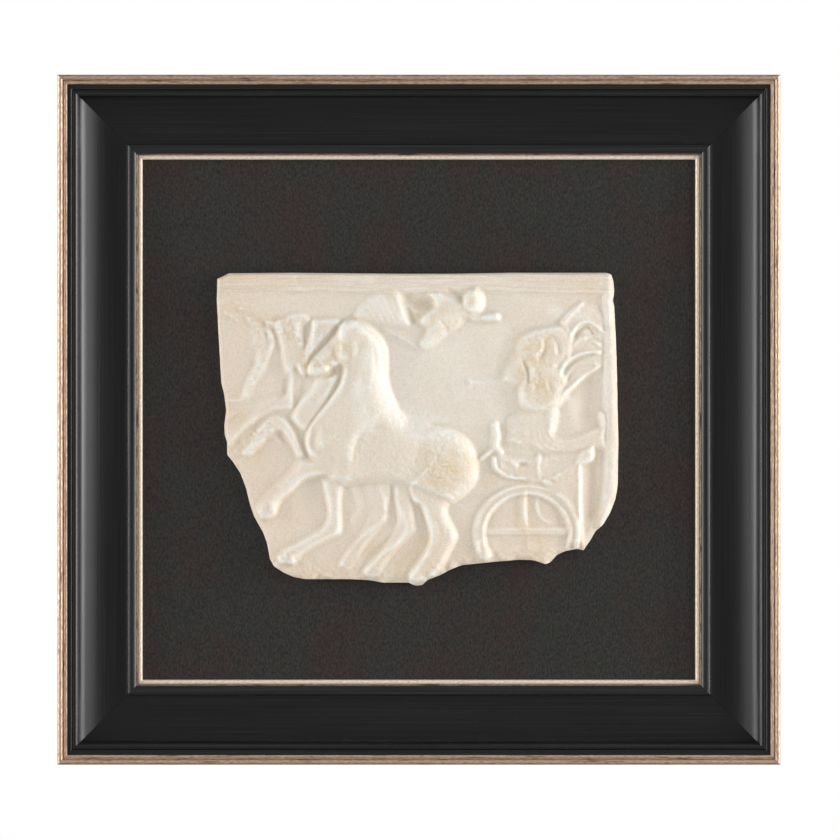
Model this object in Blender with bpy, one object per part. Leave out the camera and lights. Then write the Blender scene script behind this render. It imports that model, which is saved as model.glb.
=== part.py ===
"""A marble relief fragment on a dark board, in a wide scooped frame made to hang on a wall.

The frame's front faces -Y and its back lies in the plane Y = 0. The origin is in the middle of the top
rail's back.
"""
import math

import bmesh
import bpy
import numpy as np

# Driving dimensions, metres
FRAME_WIDTH = 0.660
FRAME_HEIGHT = 0.630
RAIL_WIDTH = 0.076
BEAD_WIDTH = 0.0088
STEP_WIDTH = 0.0097
ROLL_WIDTH = 0.0102
LIP_WIDTH = 0.0050
FRAME_DEPTH = 0.044
STEP_DROP = 0.003
COVE_BOTTOM = 0.023
ROLL_RISE = 0.0030
LIP_TOP = 0.0215
REBATE_WIDTH = 0.007
RECESS_DEPTH = 0.0077
BOARD_THICKNESS = 0.006
RELIEF_WIDTH = 0.3685
SLAB_THICKNESS = 0.014
CARVING_DEPTH = 0.012
EDGE_ROUNDING = 0.004
EDGE_LOSS = 0.5
RELIEF_DROP = 0.0087
RELIEF_SHIFT = -0.0015
GAP = 0.0003

# The carving is drawn on a squared sheet: squares run right and down, and the slab is 404 squares wide
SLAB_SQUARES = 404.0
SLAB_LEFT = 15.0
SLAB_TOP = 12.0
SLAB_BOTTOM = 326.5
SQUARE = RELIEF_WIDTH / SLAB_SQUARES
GRID_SQUARES = 2.2
RELIEF_FACES = 8400

BOARD_FRONT = RECESS_DEPTH + BOARD_THICKNESS
RELIEF_BACK = BOARD_FRONT + GAP
SLAB_FACE = RELIEF_BACK + SLAB_THICKNESS
REBATE_TOP = BOARD_FRONT + GAP
FRAME_TOP = (RAIL_WIDTH - REBATE_WIDTH) / 2
FRAME_MIDDLE = FRAME_TOP - FRAME_HEIGHT / 2


def clear_scene():
    for item in list(bpy.data.objects):
        bpy.data.objects.remove(item, do_unlink=True)


def material(name, colour, roughness, metallic=0.0):
    made = bpy.data.materials.new(name)
    made.use_nodes = True
    shader = made.node_tree.nodes["Principled BSDF"]
    shader.inputs["Base Color"].default_value = (*colour, 1.0)
    shader.inputs["Roughness"].default_value = roughness
    shader.inputs["Metallic"].default_value = metallic
    return made


def mesh_object(name, mesh, finish):
    made = bpy.data.objects.new(name, mesh)
    made.data.materials.append(finish)
    bpy.context.collection.objects.link(made)
    return made


# The moulding

def arc(centre, radius, start, stop, steps):
    """Points on an arc or, with two radii, on part of an ellipse. Angles are in degrees."""
    rx, ry = radius if isinstance(radius, tuple) else (radius, radius)
    angles = [math.radians(start + (stop - start) * i / steps) for i in range(steps + 1)]
    return [(centre[0] + rx * math.cos(a), centre[1] + ry * math.sin(a)) for a in angles]


def moulding_profile():
    """The section as (distance in from the outer edge, height above the wall), from the back corner."""
    bead = BEAD_WIDTH * 0.28
    groove = FRAME_DEPTH - bead * 0.9
    step_in = BEAD_WIDTH + STEP_WIDTH
    cove_in = RAIL_WIDTH - LIP_WIDTH - ROLL_WIDTH
    cove_top = FRAME_DEPTH - STEP_DROP
    lip_in = RAIL_WIDTH - LIP_WIDTH
    fillet = BEAD_WIDTH - bead * 2
    roll = ROLL_WIDTH / 2
    points = [(0.0, 0.0)]
    points += arc((bead, FRAME_DEPTH - bead), bead, 180, 0, 6)
    points += [(bead * 2, groove), (bead * 2 + fillet * 0.25, groove)]
    points += [(bead * 2 + fillet * 0.4, FRAME_DEPTH - bead * 0.5), (BEAD_WIDTH, FRAME_DEPTH - bead * 0.5)]
    points += [(BEAD_WIDTH, cove_top - 0.0008), (BEAD_WIDTH + STEP_WIDTH * 0.33, cove_top - 0.0008)]
    points += [(BEAD_WIDTH + STEP_WIDTH * 0.4, cove_top), (step_in, cove_top)]
    points += arc((cove_in, cove_top), (cove_in - step_in, cove_top - COVE_BOTTOM), 186, 270, 9)
    points += arc((cove_in + roll, COVE_BOTTOM + 0.0003), (roll, ROLL_RISE), 180, 0, 6)
    points += [(lip_in, LIP_TOP), (lip_in + LIP_WIDTH * 0.7, LIP_TOP - 0.0004)]
    points += [(RAIL_WIDTH, LIP_TOP - 0.0020), (RAIL_WIDTH, REBATE_TOP)]
    points += [(RAIL_WIDTH - REBATE_WIDTH, REBATE_TOP), (RAIL_WIDTH - REBATE_WIDTH, 0.0)]
    return points


def rail(name, side_length, across, turn, finish):
    """A mitred length of moulding. across is how far its outer edge lies from the frame's middle."""
    section = moulding_profile()
    bm = bmesh.new()
    ends = []
    for hand in (-1, 1):
        ring = []
        for inward, height in section:
            along = hand * (side_length / 2 - inward - GAP / 2)
            out = across - inward
            x = along * math.cos(turn) - out * math.sin(turn)
            z = along * math.sin(turn) + out * math.cos(turn)
            ring.append(bm.verts.new((x, -height, z + FRAME_MIDDLE)))
        ends.append(ring)
    count = len(section)
    for i in range(count):
        j = (i + 1) % count
        bm.faces.new((ends[0][i], ends[0][j], ends[1][j], ends[1][i]))
    bm.faces.new(ends[0])
    bm.faces.new(ends[1])
    bmesh.ops.recalc_face_normals(bm, faces=bm.faces)
    mesh = bpy.data.meshes.new(name)
    bm.to_mesh(mesh)
    bm.free()
    return mesh_object(name, mesh, finish)


def make_frame():
    black = material("black_wood", (0.012, 0.012, 0.013), 0.4)
    wide, high = FRAME_WIDTH, FRAME_HEIGHT
    rail("frame_top", wide, high / 2, 0.0, black)
    rail("frame_bottom", wide, high / 2, math.pi, black)
    rail("frame_left", high, wide / 2, math.pi / 2, black)
    rail("frame_right", high, wide / 2, -math.pi / 2, black)


def make_board():
    finish = material("stained_board", (0.022, 0.014, 0.012), 0.55)
    half_x = FRAME_WIDTH / 2 - RAIL_WIDTH + REBATE_WIDTH - GAP
    half_z = FRAME_HEIGHT / 2 - RAIL_WIDTH + REBATE_WIDTH - GAP
    bm = bmesh.new()
    bmesh.ops.create_cube(bm, size=1.0)
    bmesh.ops.scale(bm, vec=(2 * half_x, BOARD_THICKNESS, 2 * half_z), verts=bm.verts)
    mesh = bpy.data.meshes.new("backing_panel")
    bm.to_mesh(mesh)
    bm.free()
    board = mesh_object("backing_panel", mesh, finish)
    board.location = (0.0, -(RECESS_DEPTH + BOARD_THICKNESS / 2), FRAME_MIDDLE)


# Lines on the sheet


def curve(points, per_leg=5):
    """A smooth curve through rows of numbers."""
    p = np.array(points, float)
    ends = np.vstack([2 * p[0] - p[1], p, 2 * p[-1] - p[-2]])
    t = np.linspace(0, 1, per_leg, endpoint=False)[:, None]
    legs = []
    for a, b, c, d in zip(ends, ends[1:], ends[2:], ends[3:]):
        bend = (2 * a - 5 * b + 4 * c - d) * t**2 + (3 * b - a - 3 * c + d) * t**3
        legs.append(0.5 * (2 * b + (c - a) * t + bend))
    return np.vstack(legs + [p[-1:]])


def along_line(points, count):
    """count points, evenly spaced on the line through points, with its corners a little worn."""
    p = np.array(points, float)
    run = np.concatenate([[0], np.cumsum(np.hypot(*np.diff(p, axis=0).T))])
    at = np.linspace(0, run[-1], count)
    line = np.column_stack([np.interp(at, run, p[:, 0]), np.interp(at, run, p[:, 1])])
    for _ in range(2):
        line[1:-1] = (line[:-2] + 2 * line[1:-1] + line[2:]) / 4
    return line


def nearest(x, y, path):
    """Least distance over reach to a path of rows: x, y, reach on the right, reach on the left, height."""
    share, high = np.full(x.shape, 1e9), np.zeros(x.shape)
    for a, b in zip(path, path[1:]):
        dx, dy = b[0] - a[0], b[1] - a[1]
        t = np.clip(((x - a[0]) * dx + (y - a[1]) * dy) / max(dx * dx + dy * dy, 1e-9), 0, 1)
        off_x, off_y = x - a[0] - dx * t, y - a[1] - dy * t
        away = np.hypot(off_x, off_y)
        on_right = 0.5 + 0.5 * (dx * off_y - dy * off_x) / (math.hypot(dx, dy) * away + 1e-9)
        wide = (a[2] + (b[2] - a[2]) * t) * on_right + (a[3] + (b[3] - a[3]) * t) * (1 - on_right)
        closer = away / wide < share
        share = np.where(closer, away / wide, share)
        high = np.where(closer, a[4] + (b[4] - a[4]) * t, high)
    return share, high


def bow(start, middle, stop, wide, thin):
    """Rows along the bend through three points, whose reach goes from wide to thin."""
    rows = []
    for i in range(7):
        t = i / 6
        first, last = (1 - t) * (1 - 2 * t), t * (2 * t - 1)
        x, y = (first * a + 4 * t * (1 - t) * b + last * c for a, b, c in zip(start, middle, stop))
        rows.append((x, y, wide + (thin - wide) * t))
    return rows


# The tools
NARROWEST = 0.5


class Carving:
    def __init__(self, x, y):
        self.x, self.y, self.z = x, y, np.zeros_like(x)

    def measure(self, rows):
        """The points that the rows reach, how far out each one is, and the height there."""
        path = curve(rows)
        path[:, 2:4] = np.maximum(path[:, 2:4], NARROWEST)
        reach = path[:, 2:4].max()
        low, high = path[:, :2].min(0) - reach, path[:, :2].max(0) + reach
        across, down = (self.x > low[0]) & (self.x < high[0]), (self.y > low[1]) & (self.y < high[1])
        which = np.flatnonzero(across & down)
        return which, *nearest(self.x[which], self.y[which], path)

    def join(self, which, new, where, soft):
        old = self.z[which]
        mix = np.clip(0.5 + 0.5 * (new - old) / soft, 0, 1)
        both = old * (1 - mix) + new * mix + soft * mix * (1 - mix)
        self.z[which] = np.where(where, np.maximum(both, old), old)

    def ridge(self, points, height, flat=2.0, wall=0.0, soft=0.05):
        """A form along rows of x, y, right-hand reach, left-hand reach and perhaps share of height."""
        rows = [(x, y, a, b, height * (more[0] if more else 1)) for x, y, a, b, *more in points]
        which, share, high = self.measure(rows)
        crown = (1 - np.clip(share, 0, 1) ** flat) ** 1.3
        new = high * (wall * np.clip((1 - share) * 5, 0, 1) + (1 - wall) * crown)
        self.join(which, new, share < 1, soft)

    def limb(self, points, height, flat=2.0, wall=0.1, soft=0.05):
        """A ridge with equal sides, along rows of x, y, radius and perhaps share of height."""
        self.ridge([(x, y, r, r, *more) for x, y, r, *more in points], height, flat, wall, soft)

    def swell(self, points, amount):
        """Raises what is there softly along rows of x, y, radius, or hollows it where amount is below 0."""
        which, share, high = self.measure([(x, y, r, r, amount) for x, y, r in points])
        self.z[which] += high * (1 - np.clip(share, 0, 1) ** 2) ** 2

    def mass(self, outline, height, edge, wall=0.1, soft=0.05):
        """A filled shape with a rounded edge, whose width is edge or each corner's own third number."""
        rows = [(x, y, *(own or [edge]) * 2, 0) for x, y, *own in [*outline, outline[0]]]
        which, share, _ = self.measure(rows)
        x, y = self.x[which], self.y[which]
        inside = np.zeros(x.shape, bool)
        path = curve(rows)
        for a, b in zip(path, path[1:]):
            if a[1] != b[1]:
                inside ^= ((a[1] > y) != (b[1] > y)) & (x < a[0] + (y - a[1]) * (b[0] - a[0]) / (b[1] - a[1]))
        depth = np.clip(share, 0, 1)
        crown = (1 - (1 - depth) ** 2) ** 1.3
        self.join(which, height * (wall * np.clip(depth * 5, 0, 1) + (1 - wall) * crown), inside, soft)


# The outline
TOP_EDGE = [(16, 18), (21, 16), (28, 12.5), (90, 12), (200, 13), (250, 13), (310, 12), (407, 12),
            (412, 14)]
RIGHT_EDGE = [(412, 14), (414, 20), (415, 30), (413.5, 40), (415, 46), (417, 90), (418, 130), (419, 180),
              (418.5, 225), (416, 240), (411, 253), (404, 265), (396, 272), (391, 281), (384, 291)]
LEFT_EDGE = [(16, 18), (15.5, 40), (17, 70), (19, 105), (20, 122), (23, 135), (25, 150), (23, 165),
             (23.5, 175), (26, 182), (26, 195), (31, 201), (39, 213), (45, 229), (49, 245), (53, 257),
             (62, 273), (66, 284), (69, 300)]
BOTTOM_EDGE = [(69, 300), (73, 307), (82, 313), (93, 318), (105, 320), (150, 320), (168, 321),
               (183, 323.5), (208, 323.5), (215, 326.5), (222, 326), (227, 321), (240, 316), (251, 310),
               (262, 306), (290, 303), (320, 300.5), (334, 301), (346, 305), (351, 303), (357, 296),
               (365, 292), (377, 289.5), (384, 291)]
SIDES = ((TOP_EDGE, 3.5), (RIGHT_EDGE, 9.0), (BOTTOM_EDGE, 13.0), (LEFT_EDGE, 5.0))


def sheet_grid(spacing):
    """Rows of points that fill the outline: a grid stretched between its four edges."""
    columns = int(SLAB_SQUARES / spacing)
    rows = int((SLAB_BOTTOM - SLAB_TOP) / spacing)
    top, bottom = along_line(TOP_EDGE, columns), along_line(BOTTOM_EDGE, columns)
    left, right = along_line(LEFT_EDGE, rows), along_line(RIGHT_EDGE, rows)
    u = np.linspace(0, 1, columns)[None, :, None]
    v = np.linspace(0, 1, rows)[:, None, None]
    between = (1 - v) * top[None] + v * bottom[None] + (1 - u) * left[:, None] + u * right[:, None]
    corners = (1 - v) * ((1 - u) * top[0] + u * top[-1]) + v * ((1 - u) * bottom[0] + u * bottom[-1])
    return between - corners


def worn_edge(x, y):
    """How far the face falls back towards the outline, from 1 at the edge to 0. Broken sides are rounder."""
    fall = np.zeros(x.shape)
    for side, reach in SIDES:
        path = [(px, py, reach, reach, 0) for px, py in along_line(side, 160)]
        share = np.clip(nearest(x, y, path)[0], 0, 1)
        fall = np.maximum(fall, 1 - np.sqrt(1 - (1 - share) ** 2))
    return fall


# The border


def carve_border(c):
    """The raised band along the top, the upright one on the right, and the hollows cut beside them."""
    c.mass([(5, 2), (430, 2), (430, 33), (300, 33), (200, 33), (75, 33), (62, 30), (30, 28),
            (5, 28)], 0.15, 5)
    c.ridge([(412, 0, 10, 16), (412, 60, 10, 15), (413, 190, 10, 16), (412, 230, 10, 16),
             (400, 290, 10, 16)], 0.3, flat=2.2)
    c.swell([(388, 112, 12), (386, 135, 20), (386, 158, 16)], -0.12)
    c.swell([(390, 206, 9), (390, 232, 9), (389, 256, 8)], -0.15)
    c.swell([(96, 18, 2.5), (98, 22, 3), (104, 25, 2.5)], -0.084)
    c.swell([(324, 14, 1.6), (325, 27, 1.6)], 0.042)
    c.swell([(18, 36, 2), (40, 39, 2.5), (52, 38, 2), (64, 35, 1.5)], -0.098)
    c.swell([(24, 31, 2), (44, 33, 2), (60, 31, 1.5)], 0.042)


# The horses behind


def carve_far_horses(c):
    """The three horses behind, each lower in relief and a step further left."""
    # The farthest: its mane and neck run down to the broken edge
    c.mass([(16, 50, 10), (34, 48, 8), (52, 58), (72, 70), (74, 84), (68, 98), (60, 114), (52, 130),
            (44, 142), (24, 142), (24, 139), (38, 136), (45, 126), (50, 115), (57, 104), (60, 97),
            (57, 91), (49, 84, 5), (46, 74, 8), (40, 68, 12), (28, 60, 14)], 0.13, 3.5)
    c.swell([(33, 50, 4), (41, 57, 6), (48, 64, 4)], -0.1)
    c.ridge([(58, 90, 3, 9), (57, 104, 3, 10), (50, 116, 3, 10), (43, 134, 3, 8)], 0.19, soft=0.03)
    c.swell([(71, 84, 2.5), (66, 98, 3), (60, 112, 3), (52, 125, 2.5)], 0.07)
    # The third: forehead to muzzle, then its chest down to the bent foreleg
    c.mass([(60, 60), (78, 58), (88, 53, 6), (103, 52, 6), (110, 60), (103, 70), (104, 90), (99, 104),
            (94, 112), (92, 124), (92, 134), (92, 150), (74, 152), (58, 158), (57, 155), (63, 150),
            (74, 142), (86, 134), (89, 126), (90, 116), (86, 110), (83, 98), (81, 86), (77, 74),
            (70, 66)], 0.21, 4)
    c.swell([(78, 60, 2.5), (79, 75, 3), (82, 86, 3), (83, 98, 3), (87, 112, 2.5)], 0.112)
    c.swell([(91, 115, 2.5), (91, 125, 3), (87, 134, 3), (75, 142, 3), (62, 151, 2.5)], 0.084)
    c.swell([(88, 56, 3), (97, 53, 4), (104, 54, 3)], 0.09)
    # The second: face, muzzle, and the neck that shows between it and the near horse
    c.mass([(112, 58), (135, 57), (140, 62), (130, 74), (118, 86), (109, 98), (108, 112), (103, 117),
            (96, 108), (96, 103), (103, 91), (109, 80), (111, 70)], 0.33, 4)
    c.swell([(113, 60, 2), (112, 72, 2.6), (109, 82, 2.6), (103, 92, 2.6), (97, 103, 2.8)], 0.112)
    c.swell([(97, 105, 2), (100, 112, 2.4), (104, 117, 2)], 0.098)
    c.mass([(118, 112), (124, 116), (138, 114), (132, 130), (122, 148), (112, 162), (104, 172), (92, 160),
            (94, 150), (103, 137), (112, 127)], 0.29, 4)
    c.swell([(117, 117, 2), (112, 128, 2.5), (103, 139, 2.8), (95, 150, 2.8)], 0.098)
    # The dark pockets between the heads and the necks
    for x0, y0, x1, y1, r in ((103, 63, 101, 78, 6), (135, 66, 126, 82, 4), (123, 84, 114, 92, 3),
                              (74, 108, 82, 126, 13), (86, 120, 84, 132, 5), (108, 116, 116, 117, 4),
                              (126, 124, 112, 140, 6), (64, 66, 66, 82, 5), (103, 118, 101, 130, 7)):
        c.swell([(x0, y0, r), (x1, y1, r * 0.9)], -0.1)
    # Worn forelocks and ears make one ragged row along the tops of the heads
    for i in range(9):
        x = 54 + 9.5 * i + 3 * math.sin(2.1 * i)
        c.swell([(x, 60, 2), (x + 3 * math.sin(2.3 * i), 67, 2.4),
                 (x + 4 * math.sin(1.7 * i), 78, 2)], 0.045)


def carve_raised_forelegs(c):
    """The far horses' forelegs, bent at the knee and worn rough, at the broken left side."""
    c.ridge([(27, 158, 2.5, 12), (36, 153, 2.5, 10), (46, 151, 2.5, 8), (56, 152, 2.5, 8)], 0.09)
    c.swell([(34, 164, 9), (44, 161, 9), (50, 158, 5)], -0.08)
    c.ridge([(26, 187, 3, 9), (34, 177, 2.5, 12), (44, 167, 2.5, 13), (56, 156, 2.5, 13),
             (64, 148, 2.5, 12), (74, 143, 2.5, 10)], 0.2, flat=3)
    # The bent leg: forearm, knee and cannon, then the inner edge of the same leg
    c.mass([(52, 178), (62, 162), (74, 156), (84, 158), (93, 170), (100, 184), (104, 196), (97, 199),
            (90, 184), (84, 176), (78, 172), (66, 180), (56, 190), (48, 198), (40, 192)], 0.22, 4)
    c.swell([(62, 164, 2), (71, 157, 2.4), (80, 158, 2.4), (88, 168, 2.4), (96, 185, 2.2),
             (100, 195, 2)], 0.084)
    c.swell([(84, 170, 1.6), (92, 184, 1.8), (98, 197, 1.6)], 0.07)
    c.swell([(51, 194, 2), (56, 186, 2.4), (64, 179, 2.2)], 0.098)
    c.swell([(79, 175, 4.5), (84, 181, 4)], -0.13)
    c.swell([(58, 204, 9), (68, 196, 11), (78, 190, 8)], -0.09)
    for i in range(7):
        x = 62 - 4.6 * i
        c.swell([(x + 5, 162 + 4 * i, 1.5), (x, 167 + 4 * i, 1.8), (x - 5, 174 + 4 * i, 1.5)], 0.05)
    c.swell([(60, 176, 1.5), (70, 168, 1.8), (78, 166, 1.5)], 0.056)


def shank(c, knee, foot, wide, height):
    """A lower leg that runs forward from the knee or hock to the hoof, where it widens a little."""
    (kx, ky), (fx, fy) = knee, foot
    rows = [(kx + (fx - kx) * t, ky + (fy - ky) * t, wide * share, high)
            for t, share, high in ((0, 1.15, 1), (0.3, 0.85, 0.95), (0.7, 0.75, 0.9), (1, 1.0, 0.8))]
    c.limb(rows, height, flat=3.5, wall=0.15)


def carve_far_legs(c):
    """Three pairs of hind legs behind the near horse's, the last hardly raised."""
    c.limb([(150, 226, 5), (157, 246, 5), (150, 262, 4)], 0.07)
    c.limb([(168, 226, 7), (176, 250, 7)], 0.1, flat=3)
    c.limb([(182, 224, 9), (181, 242, 8), (178, 256, 7.5)], 0.17, flat=3.5)
    shank(c, (178, 258), (146, 304), 8.5, 0.17)
    c.limb([(203, 224, 10), (204, 244, 9), (206, 262, 9)], 0.24, flat=3.5)
    shank(c, (206, 268), (172, 312), 9.0, 0.24)
    c.swell([(180, 228, 1.8), (184, 246, 2), (184, 258, 2), (170, 270, 2), (152, 286, 2),
             (140, 306, 2)], 0.084)
    c.swell([(172, 276, 1.8), (160, 290, 2), (157, 304, 1.8)], 0.056)
    c.swell([(197, 228, 1.8), (197, 242, 2), (203, 258, 2), (205, 270, 2), (196, 284, 2), (180, 296, 2),
             (165, 314, 1.8)], 0.098)
    for x0, y0, x1, y1, r in ((198, 272, 172, 292, 5), (168, 296, 160, 312, 5), (221, 246, 226, 268, 6),
                              (220, 282, 196, 306, 7), (190, 316, 204, 316, 6)):
        c.swell([(x0, y0, r), (x1, y1, r)], -0.08)


# The near horse


def carve_near_horse(c):
    """The foremost horse: legs, body, arched neck with its mane, and head."""
    # Hind leg: thigh, hock and shank in one outline
    c.mass([(204, 222, 8), (212, 242, 4), (220, 247, 4), (225, 260, 4), (229, 275, 4), (226, 288, 5),
            (217, 302, 5), (208, 316, 5), (212, 326, 5), (232, 320, 6), (243, 309, 7), (251, 294, 8),
            (258, 280, 8), (257, 271, 9), (250, 258, 9), (248, 249, 9), (256, 240, 9), (270, 228, 9),
            (240, 200, 10)], 0.4, 5)
    c.swell([(236, 262, 3), (240, 273, 4), (237, 287, 4), (226, 302, 3)], -0.05)
    # Standing foreleg
    c.mass([(120, 218, 6), (123, 230, 4), (126, 245, 4), (127, 257, 4), (121, 267, 4), (108, 275, 4),
            (95, 282, 4), (84, 288, 4), (76, 297, 4), (78, 305, 4), (92, 306, 4), (101, 297, 4),
            (112, 290, 4), (128, 282, 5), (139, 276, 5), (142, 268, 6), (141, 250, 6), (143, 230, 6),
            (152, 216, 8)], 0.3, 4)
    c.swell([(132, 234, 4), (134, 250, 4), (134, 262, 4)], -0.05)
    c.swell([(91, 297, 2.5), (92, 305, 3)], 0.112)
    # Raised foreleg, whose upper side is a broad bright slope
    c.mass([(146, 190, 8), (110, 198, 8), (98, 198, 10), (86, 212, 12), (72, 226, 12), (58, 240, 11),
            (54, 252, 8), (62, 262, 5), (74, 256, 4), (80, 242, 4), (92, 232, 4), (104, 222, 5),
            (122, 218, 6), (140, 222, 8)], 0.42, 6)
    c.swell([(71, 243, 3.5), (72, 252, 3.5)], 0.1)
    c.swell([(80, 226, 4), (94, 213, 4)], 0.04)
    c.swell([(110, 226, 15), (106, 240, 16), (112, 256, 12)], -0.1)
    # Barrel and rump
    c.mass([(146, 150, 20), (198, 158, 16), (206, 163, 14), (222, 165, 12), (240, 165, 11), (255, 169, 13),
            (268, 178, 16), (276, 190, 20), (280, 205, 22), (279, 220, 22), (270, 233, 20), (258, 242, 15),
            (246, 244, 9), (214, 232, 9), (200, 228, 14), (180, 226, 16), (160, 226, 15), (140, 228, 12),
            (124, 212, 14)], 0.62, 8)
    c.swell([(186, 190, 26), (206, 196, 22)], 0.05)
    c.swell([(244, 196, 24), (242, 212, 22)], 0.07)
    c.swell([(223, 184, 10), (220, 198, 12), (213, 212, 11)], -0.07)
    c.swell([(232, 198, 2.4), (230, 205, 3), (222, 215, 3.2), (213, 224, 3), (211, 231, 2.6)], 0.08)
    # Neck, breast and shoulder: a low wall at the throat, a rise towards the crest and a broad fall beyond
    front = [(142, 112), (138, 125), (130, 137), (122, 147), (111, 161), (106, 172), (104, 183), (108, 196),
             (122, 206), (143, 228)]
    behind = [(152, 216, 11), (158, 200, 13), (163, 184, 14), (172, 175, 15), (184, 174, 20), (198, 180, 28),
              (211, 176, 30), (206, 158, 28), (198, 145, 26), (191, 130, 25), (188, 115, 23), (188, 92, 21),
              (183, 78, 17), (172, 66, 13), (160, 60, 9), (150, 58, 7), (140, 64, 5), (136, 80, 8)]
    c.mass([*((x, y, 4) for x, y in front), *behind], 0.44, 5, soft=0.08)
    c.mass([*((x, y, 34) for x, y in front), *behind], 0.92, 5, soft=0.12)
    c.swell([(160, 84, 5), (161, 100, 6), (157, 118, 7), (152, 134, 7)], -0.06)
    c.swell([(172, 166, 4), (163, 178, 5), (157, 190, 5), (153, 204, 5), (146, 218, 4)], 0.05)
    c.swell([(180, 158, 10), (170, 168, 10)], 0.04)
    c.swell([(122, 166, 3), (121, 182, 3.6), (127, 198, 3.6), (134, 206, 3)], 0.06)
    c.swell([(114, 168, 6), (112, 186, 7)], -0.05)
    c.swell([(139, 128, 1.8), (128, 144, 2.2), (118, 158, 2.2)], 0.042)
    # Head, with the cheek's disc and the muzzle
    c.mass([(154, 64, 10), (144, 64, 12), (136, 69, 13), (126, 81, 13), (116, 91, 11), (109, 99, 7),
            (105, 108, 4), (108, 116, 4), (118, 118, 5), (127, 115, 5), (133, 109, 5), (139, 107, 5),
            (148, 105, 5), (154, 99, 5), (156, 90, 5), (156, 78, 6)], 0.54, 4, wall=0, soft=0.1)
    c.limb([(145, 86, 10), (145, 93, 11)], 0.76, flat=4, wall=0.1, soft=0.08)
    c.swell([(154.5, 82, 2.2), (155, 92, 2.6), (151, 101, 2.8), (142, 105, 2.4)], 0.098)
    c.limb([(124, 107, 7), (118, 109, 6)], 0.62, flat=3, soft=0.08)
    c.swell([(134, 86, 2.2), (134, 96, 2.6), (139, 104, 2.2)], -0.084)
    c.swell([(121, 103, 2), (126, 111, 2.4)], 0.084)
    c.swell([(129, 105, 2), (132, 112, 2.2)], -0.098)
    c.swell([(110, 101, 1.8), (111, 112, 2)], 0.084)
    c.swell([(133, 80, 1.8), (140, 79, 1.8)], 0.07)
    c.swell([(128, 87, 1.8), (138, 85, 1.8)], -0.07)
    for i in range(4):
        c.swell([(140 + 4 * i, 62, 1.6), (137 + 4 * i, 69, 1.8), (132 + 5 * i, 77, 1.5)], 0.04)
    # Mane: a band along the crest between two fine edges
    c.swell([(150, 61, 2), (160, 62, 2.2), (171, 69, 2.4), (181, 80, 2.4), (185.5, 94, 2.4),
             (185.5, 116, 2.4), (189, 132, 2.4), (196, 147, 2)], 0.084)
    c.swell([(156, 72, 2.2), (165, 72, 2.4), (173, 78, 2.4), (179, 90, 2.4), (180, 108, 2.4),
             (182, 126, 2)], 0.084)
    c.swell([(164, 68, 2), (177, 80, 2.2), (182.5, 96, 2.2), (183, 118, 2)], -0.07)
    for i in range(4):
        x = 160 + 5 * i
        c.swell([(x - 5, 74, 1.4), (x + 1, 88, 1.6), (x + 2, 106, 1.6), (x, 128, 1.4)], 0.042)


# The flying figure


def carve_flying_figure(c):
    """A small winged figure under the top band, reaching right."""
    c.swell([(207, 38, 7), (218, 42, 10), (228, 43, 9)], -0.2)
    c.swell([(208, 50, 5), (213, 60, 5)], -0.14)
    c.swell([(136, 36, 10), (150, 37, 9)], -0.07)
    # Wing: long feathers parted by shallow cuts, and a right edge that falls steeply
    c.mass([(150, 62, 8), (157, 47, 7), (166, 37, 6), (176, 30, 6), (188, 27, 5), (198, 30, 5),
            (203, 43, 5), (207, 56, 5), (210, 65, 5), (198, 68, 10), (176, 64, 10)], 0.26, 8)
    for i in range(5):
        for shift, amount in ((0, -0.05), (2.5, 0.035)):
            x = 184 - 5 * i + shift
            c.swell([(x, 36 + 3 * i, 1.5), (x + 6, 47 + 2 * i, 1.8), (x + 13 - i, 60, 1.5)], amount)
    # Drapery trails to the left
    c.swell([(184, 69, 2.5), (196, 75, 3), (208, 81, 3.4), (220, 89, 3)], 0.08)
    c.swell([(188, 80, 4), (204, 88, 5), (218, 94, 4)], -0.04)
    # Body: a plateau with a broad slope along its lower right side
    c.mass([(226, 34, 4), (236, 30, 5), (248, 32, 8), (260, 36, 10), (268, 44, 9), (270, 56, 7),
            (264, 63, 12), (254, 72, 14), (242, 81, 14), (230, 89, 12), (221, 90, 8), (219, 82, 7),
            (226, 71, 8), (219, 62, 5), (225, 52, 4), (234, 46, 4), (232, 38, 4)], 0.36, 8)
    c.swell([(240, 60, 1.8), (245, 66, 2.2), (247, 75, 1.8)], -0.07)
    c.swell([(226, 74, 2.2), (234, 67, 2.6), (239, 62, 2)], 0.06)
    c.swell([(251, 68, 3), (257, 65, 3.4), (263, 62, 2.4)], 0.05)
    c.swell([(249, 29, 3), (255, 32, 3)], -0.13)
    c.swell([(228, 31, 1.8), (236, 30, 2.2), (241, 36, 1.8)], 0.07)
    # Arm, hand and head
    c.limb([(264, 52, 6), (276, 57, 5.5), (286, 57, 5)], 0.24, flat=3)
    c.limb([(285, 57.5, 4.4), (290, 57, 4.8), (296, 56.5, 4.4)], 0.4, flat=3)
    c.mass([(264, 34, 3), (270, 27, 5), (278, 25, 9), (284.5, 33, 13), (285.5, 44, 13), (281, 53, 10),
            (272, 55, 6), (265, 50, 3), (262, 42, 3)], 0.5, 5, soft=0.12)
    c.swell([(260, 43, 1.6), (267, 49, 2.2), (272, 52, 2)], 0.06)


# The driver


CLOAK_RIBS = (((361, 67), (369, 56), (383, 42), 3.4, 0.16), ((371, 75), (386, 61), (405, 74), 2.4, 0.17),
              ((374, 85), (386, 78), (400, 85), 2.4, 0.14), ((361, 114), (373, 97), (400, 92), 2.6, 0.2),
              ((363, 124), (375, 109), (396, 104), 2.2, 0.17),
              ((364, 134), (379, 121), (400, 106), 3.0, 0.18))
CLOAK_CUTS = (((375, 76), (385, 67), (393, 73), 3.0), ((388, 79), (396, 79), (401, 81), 1.6),
              ((363, 112), (374, 101), (394, 94), 2.6), ((367, 119), (377, 108), (394, 105), 2.0))


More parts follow.
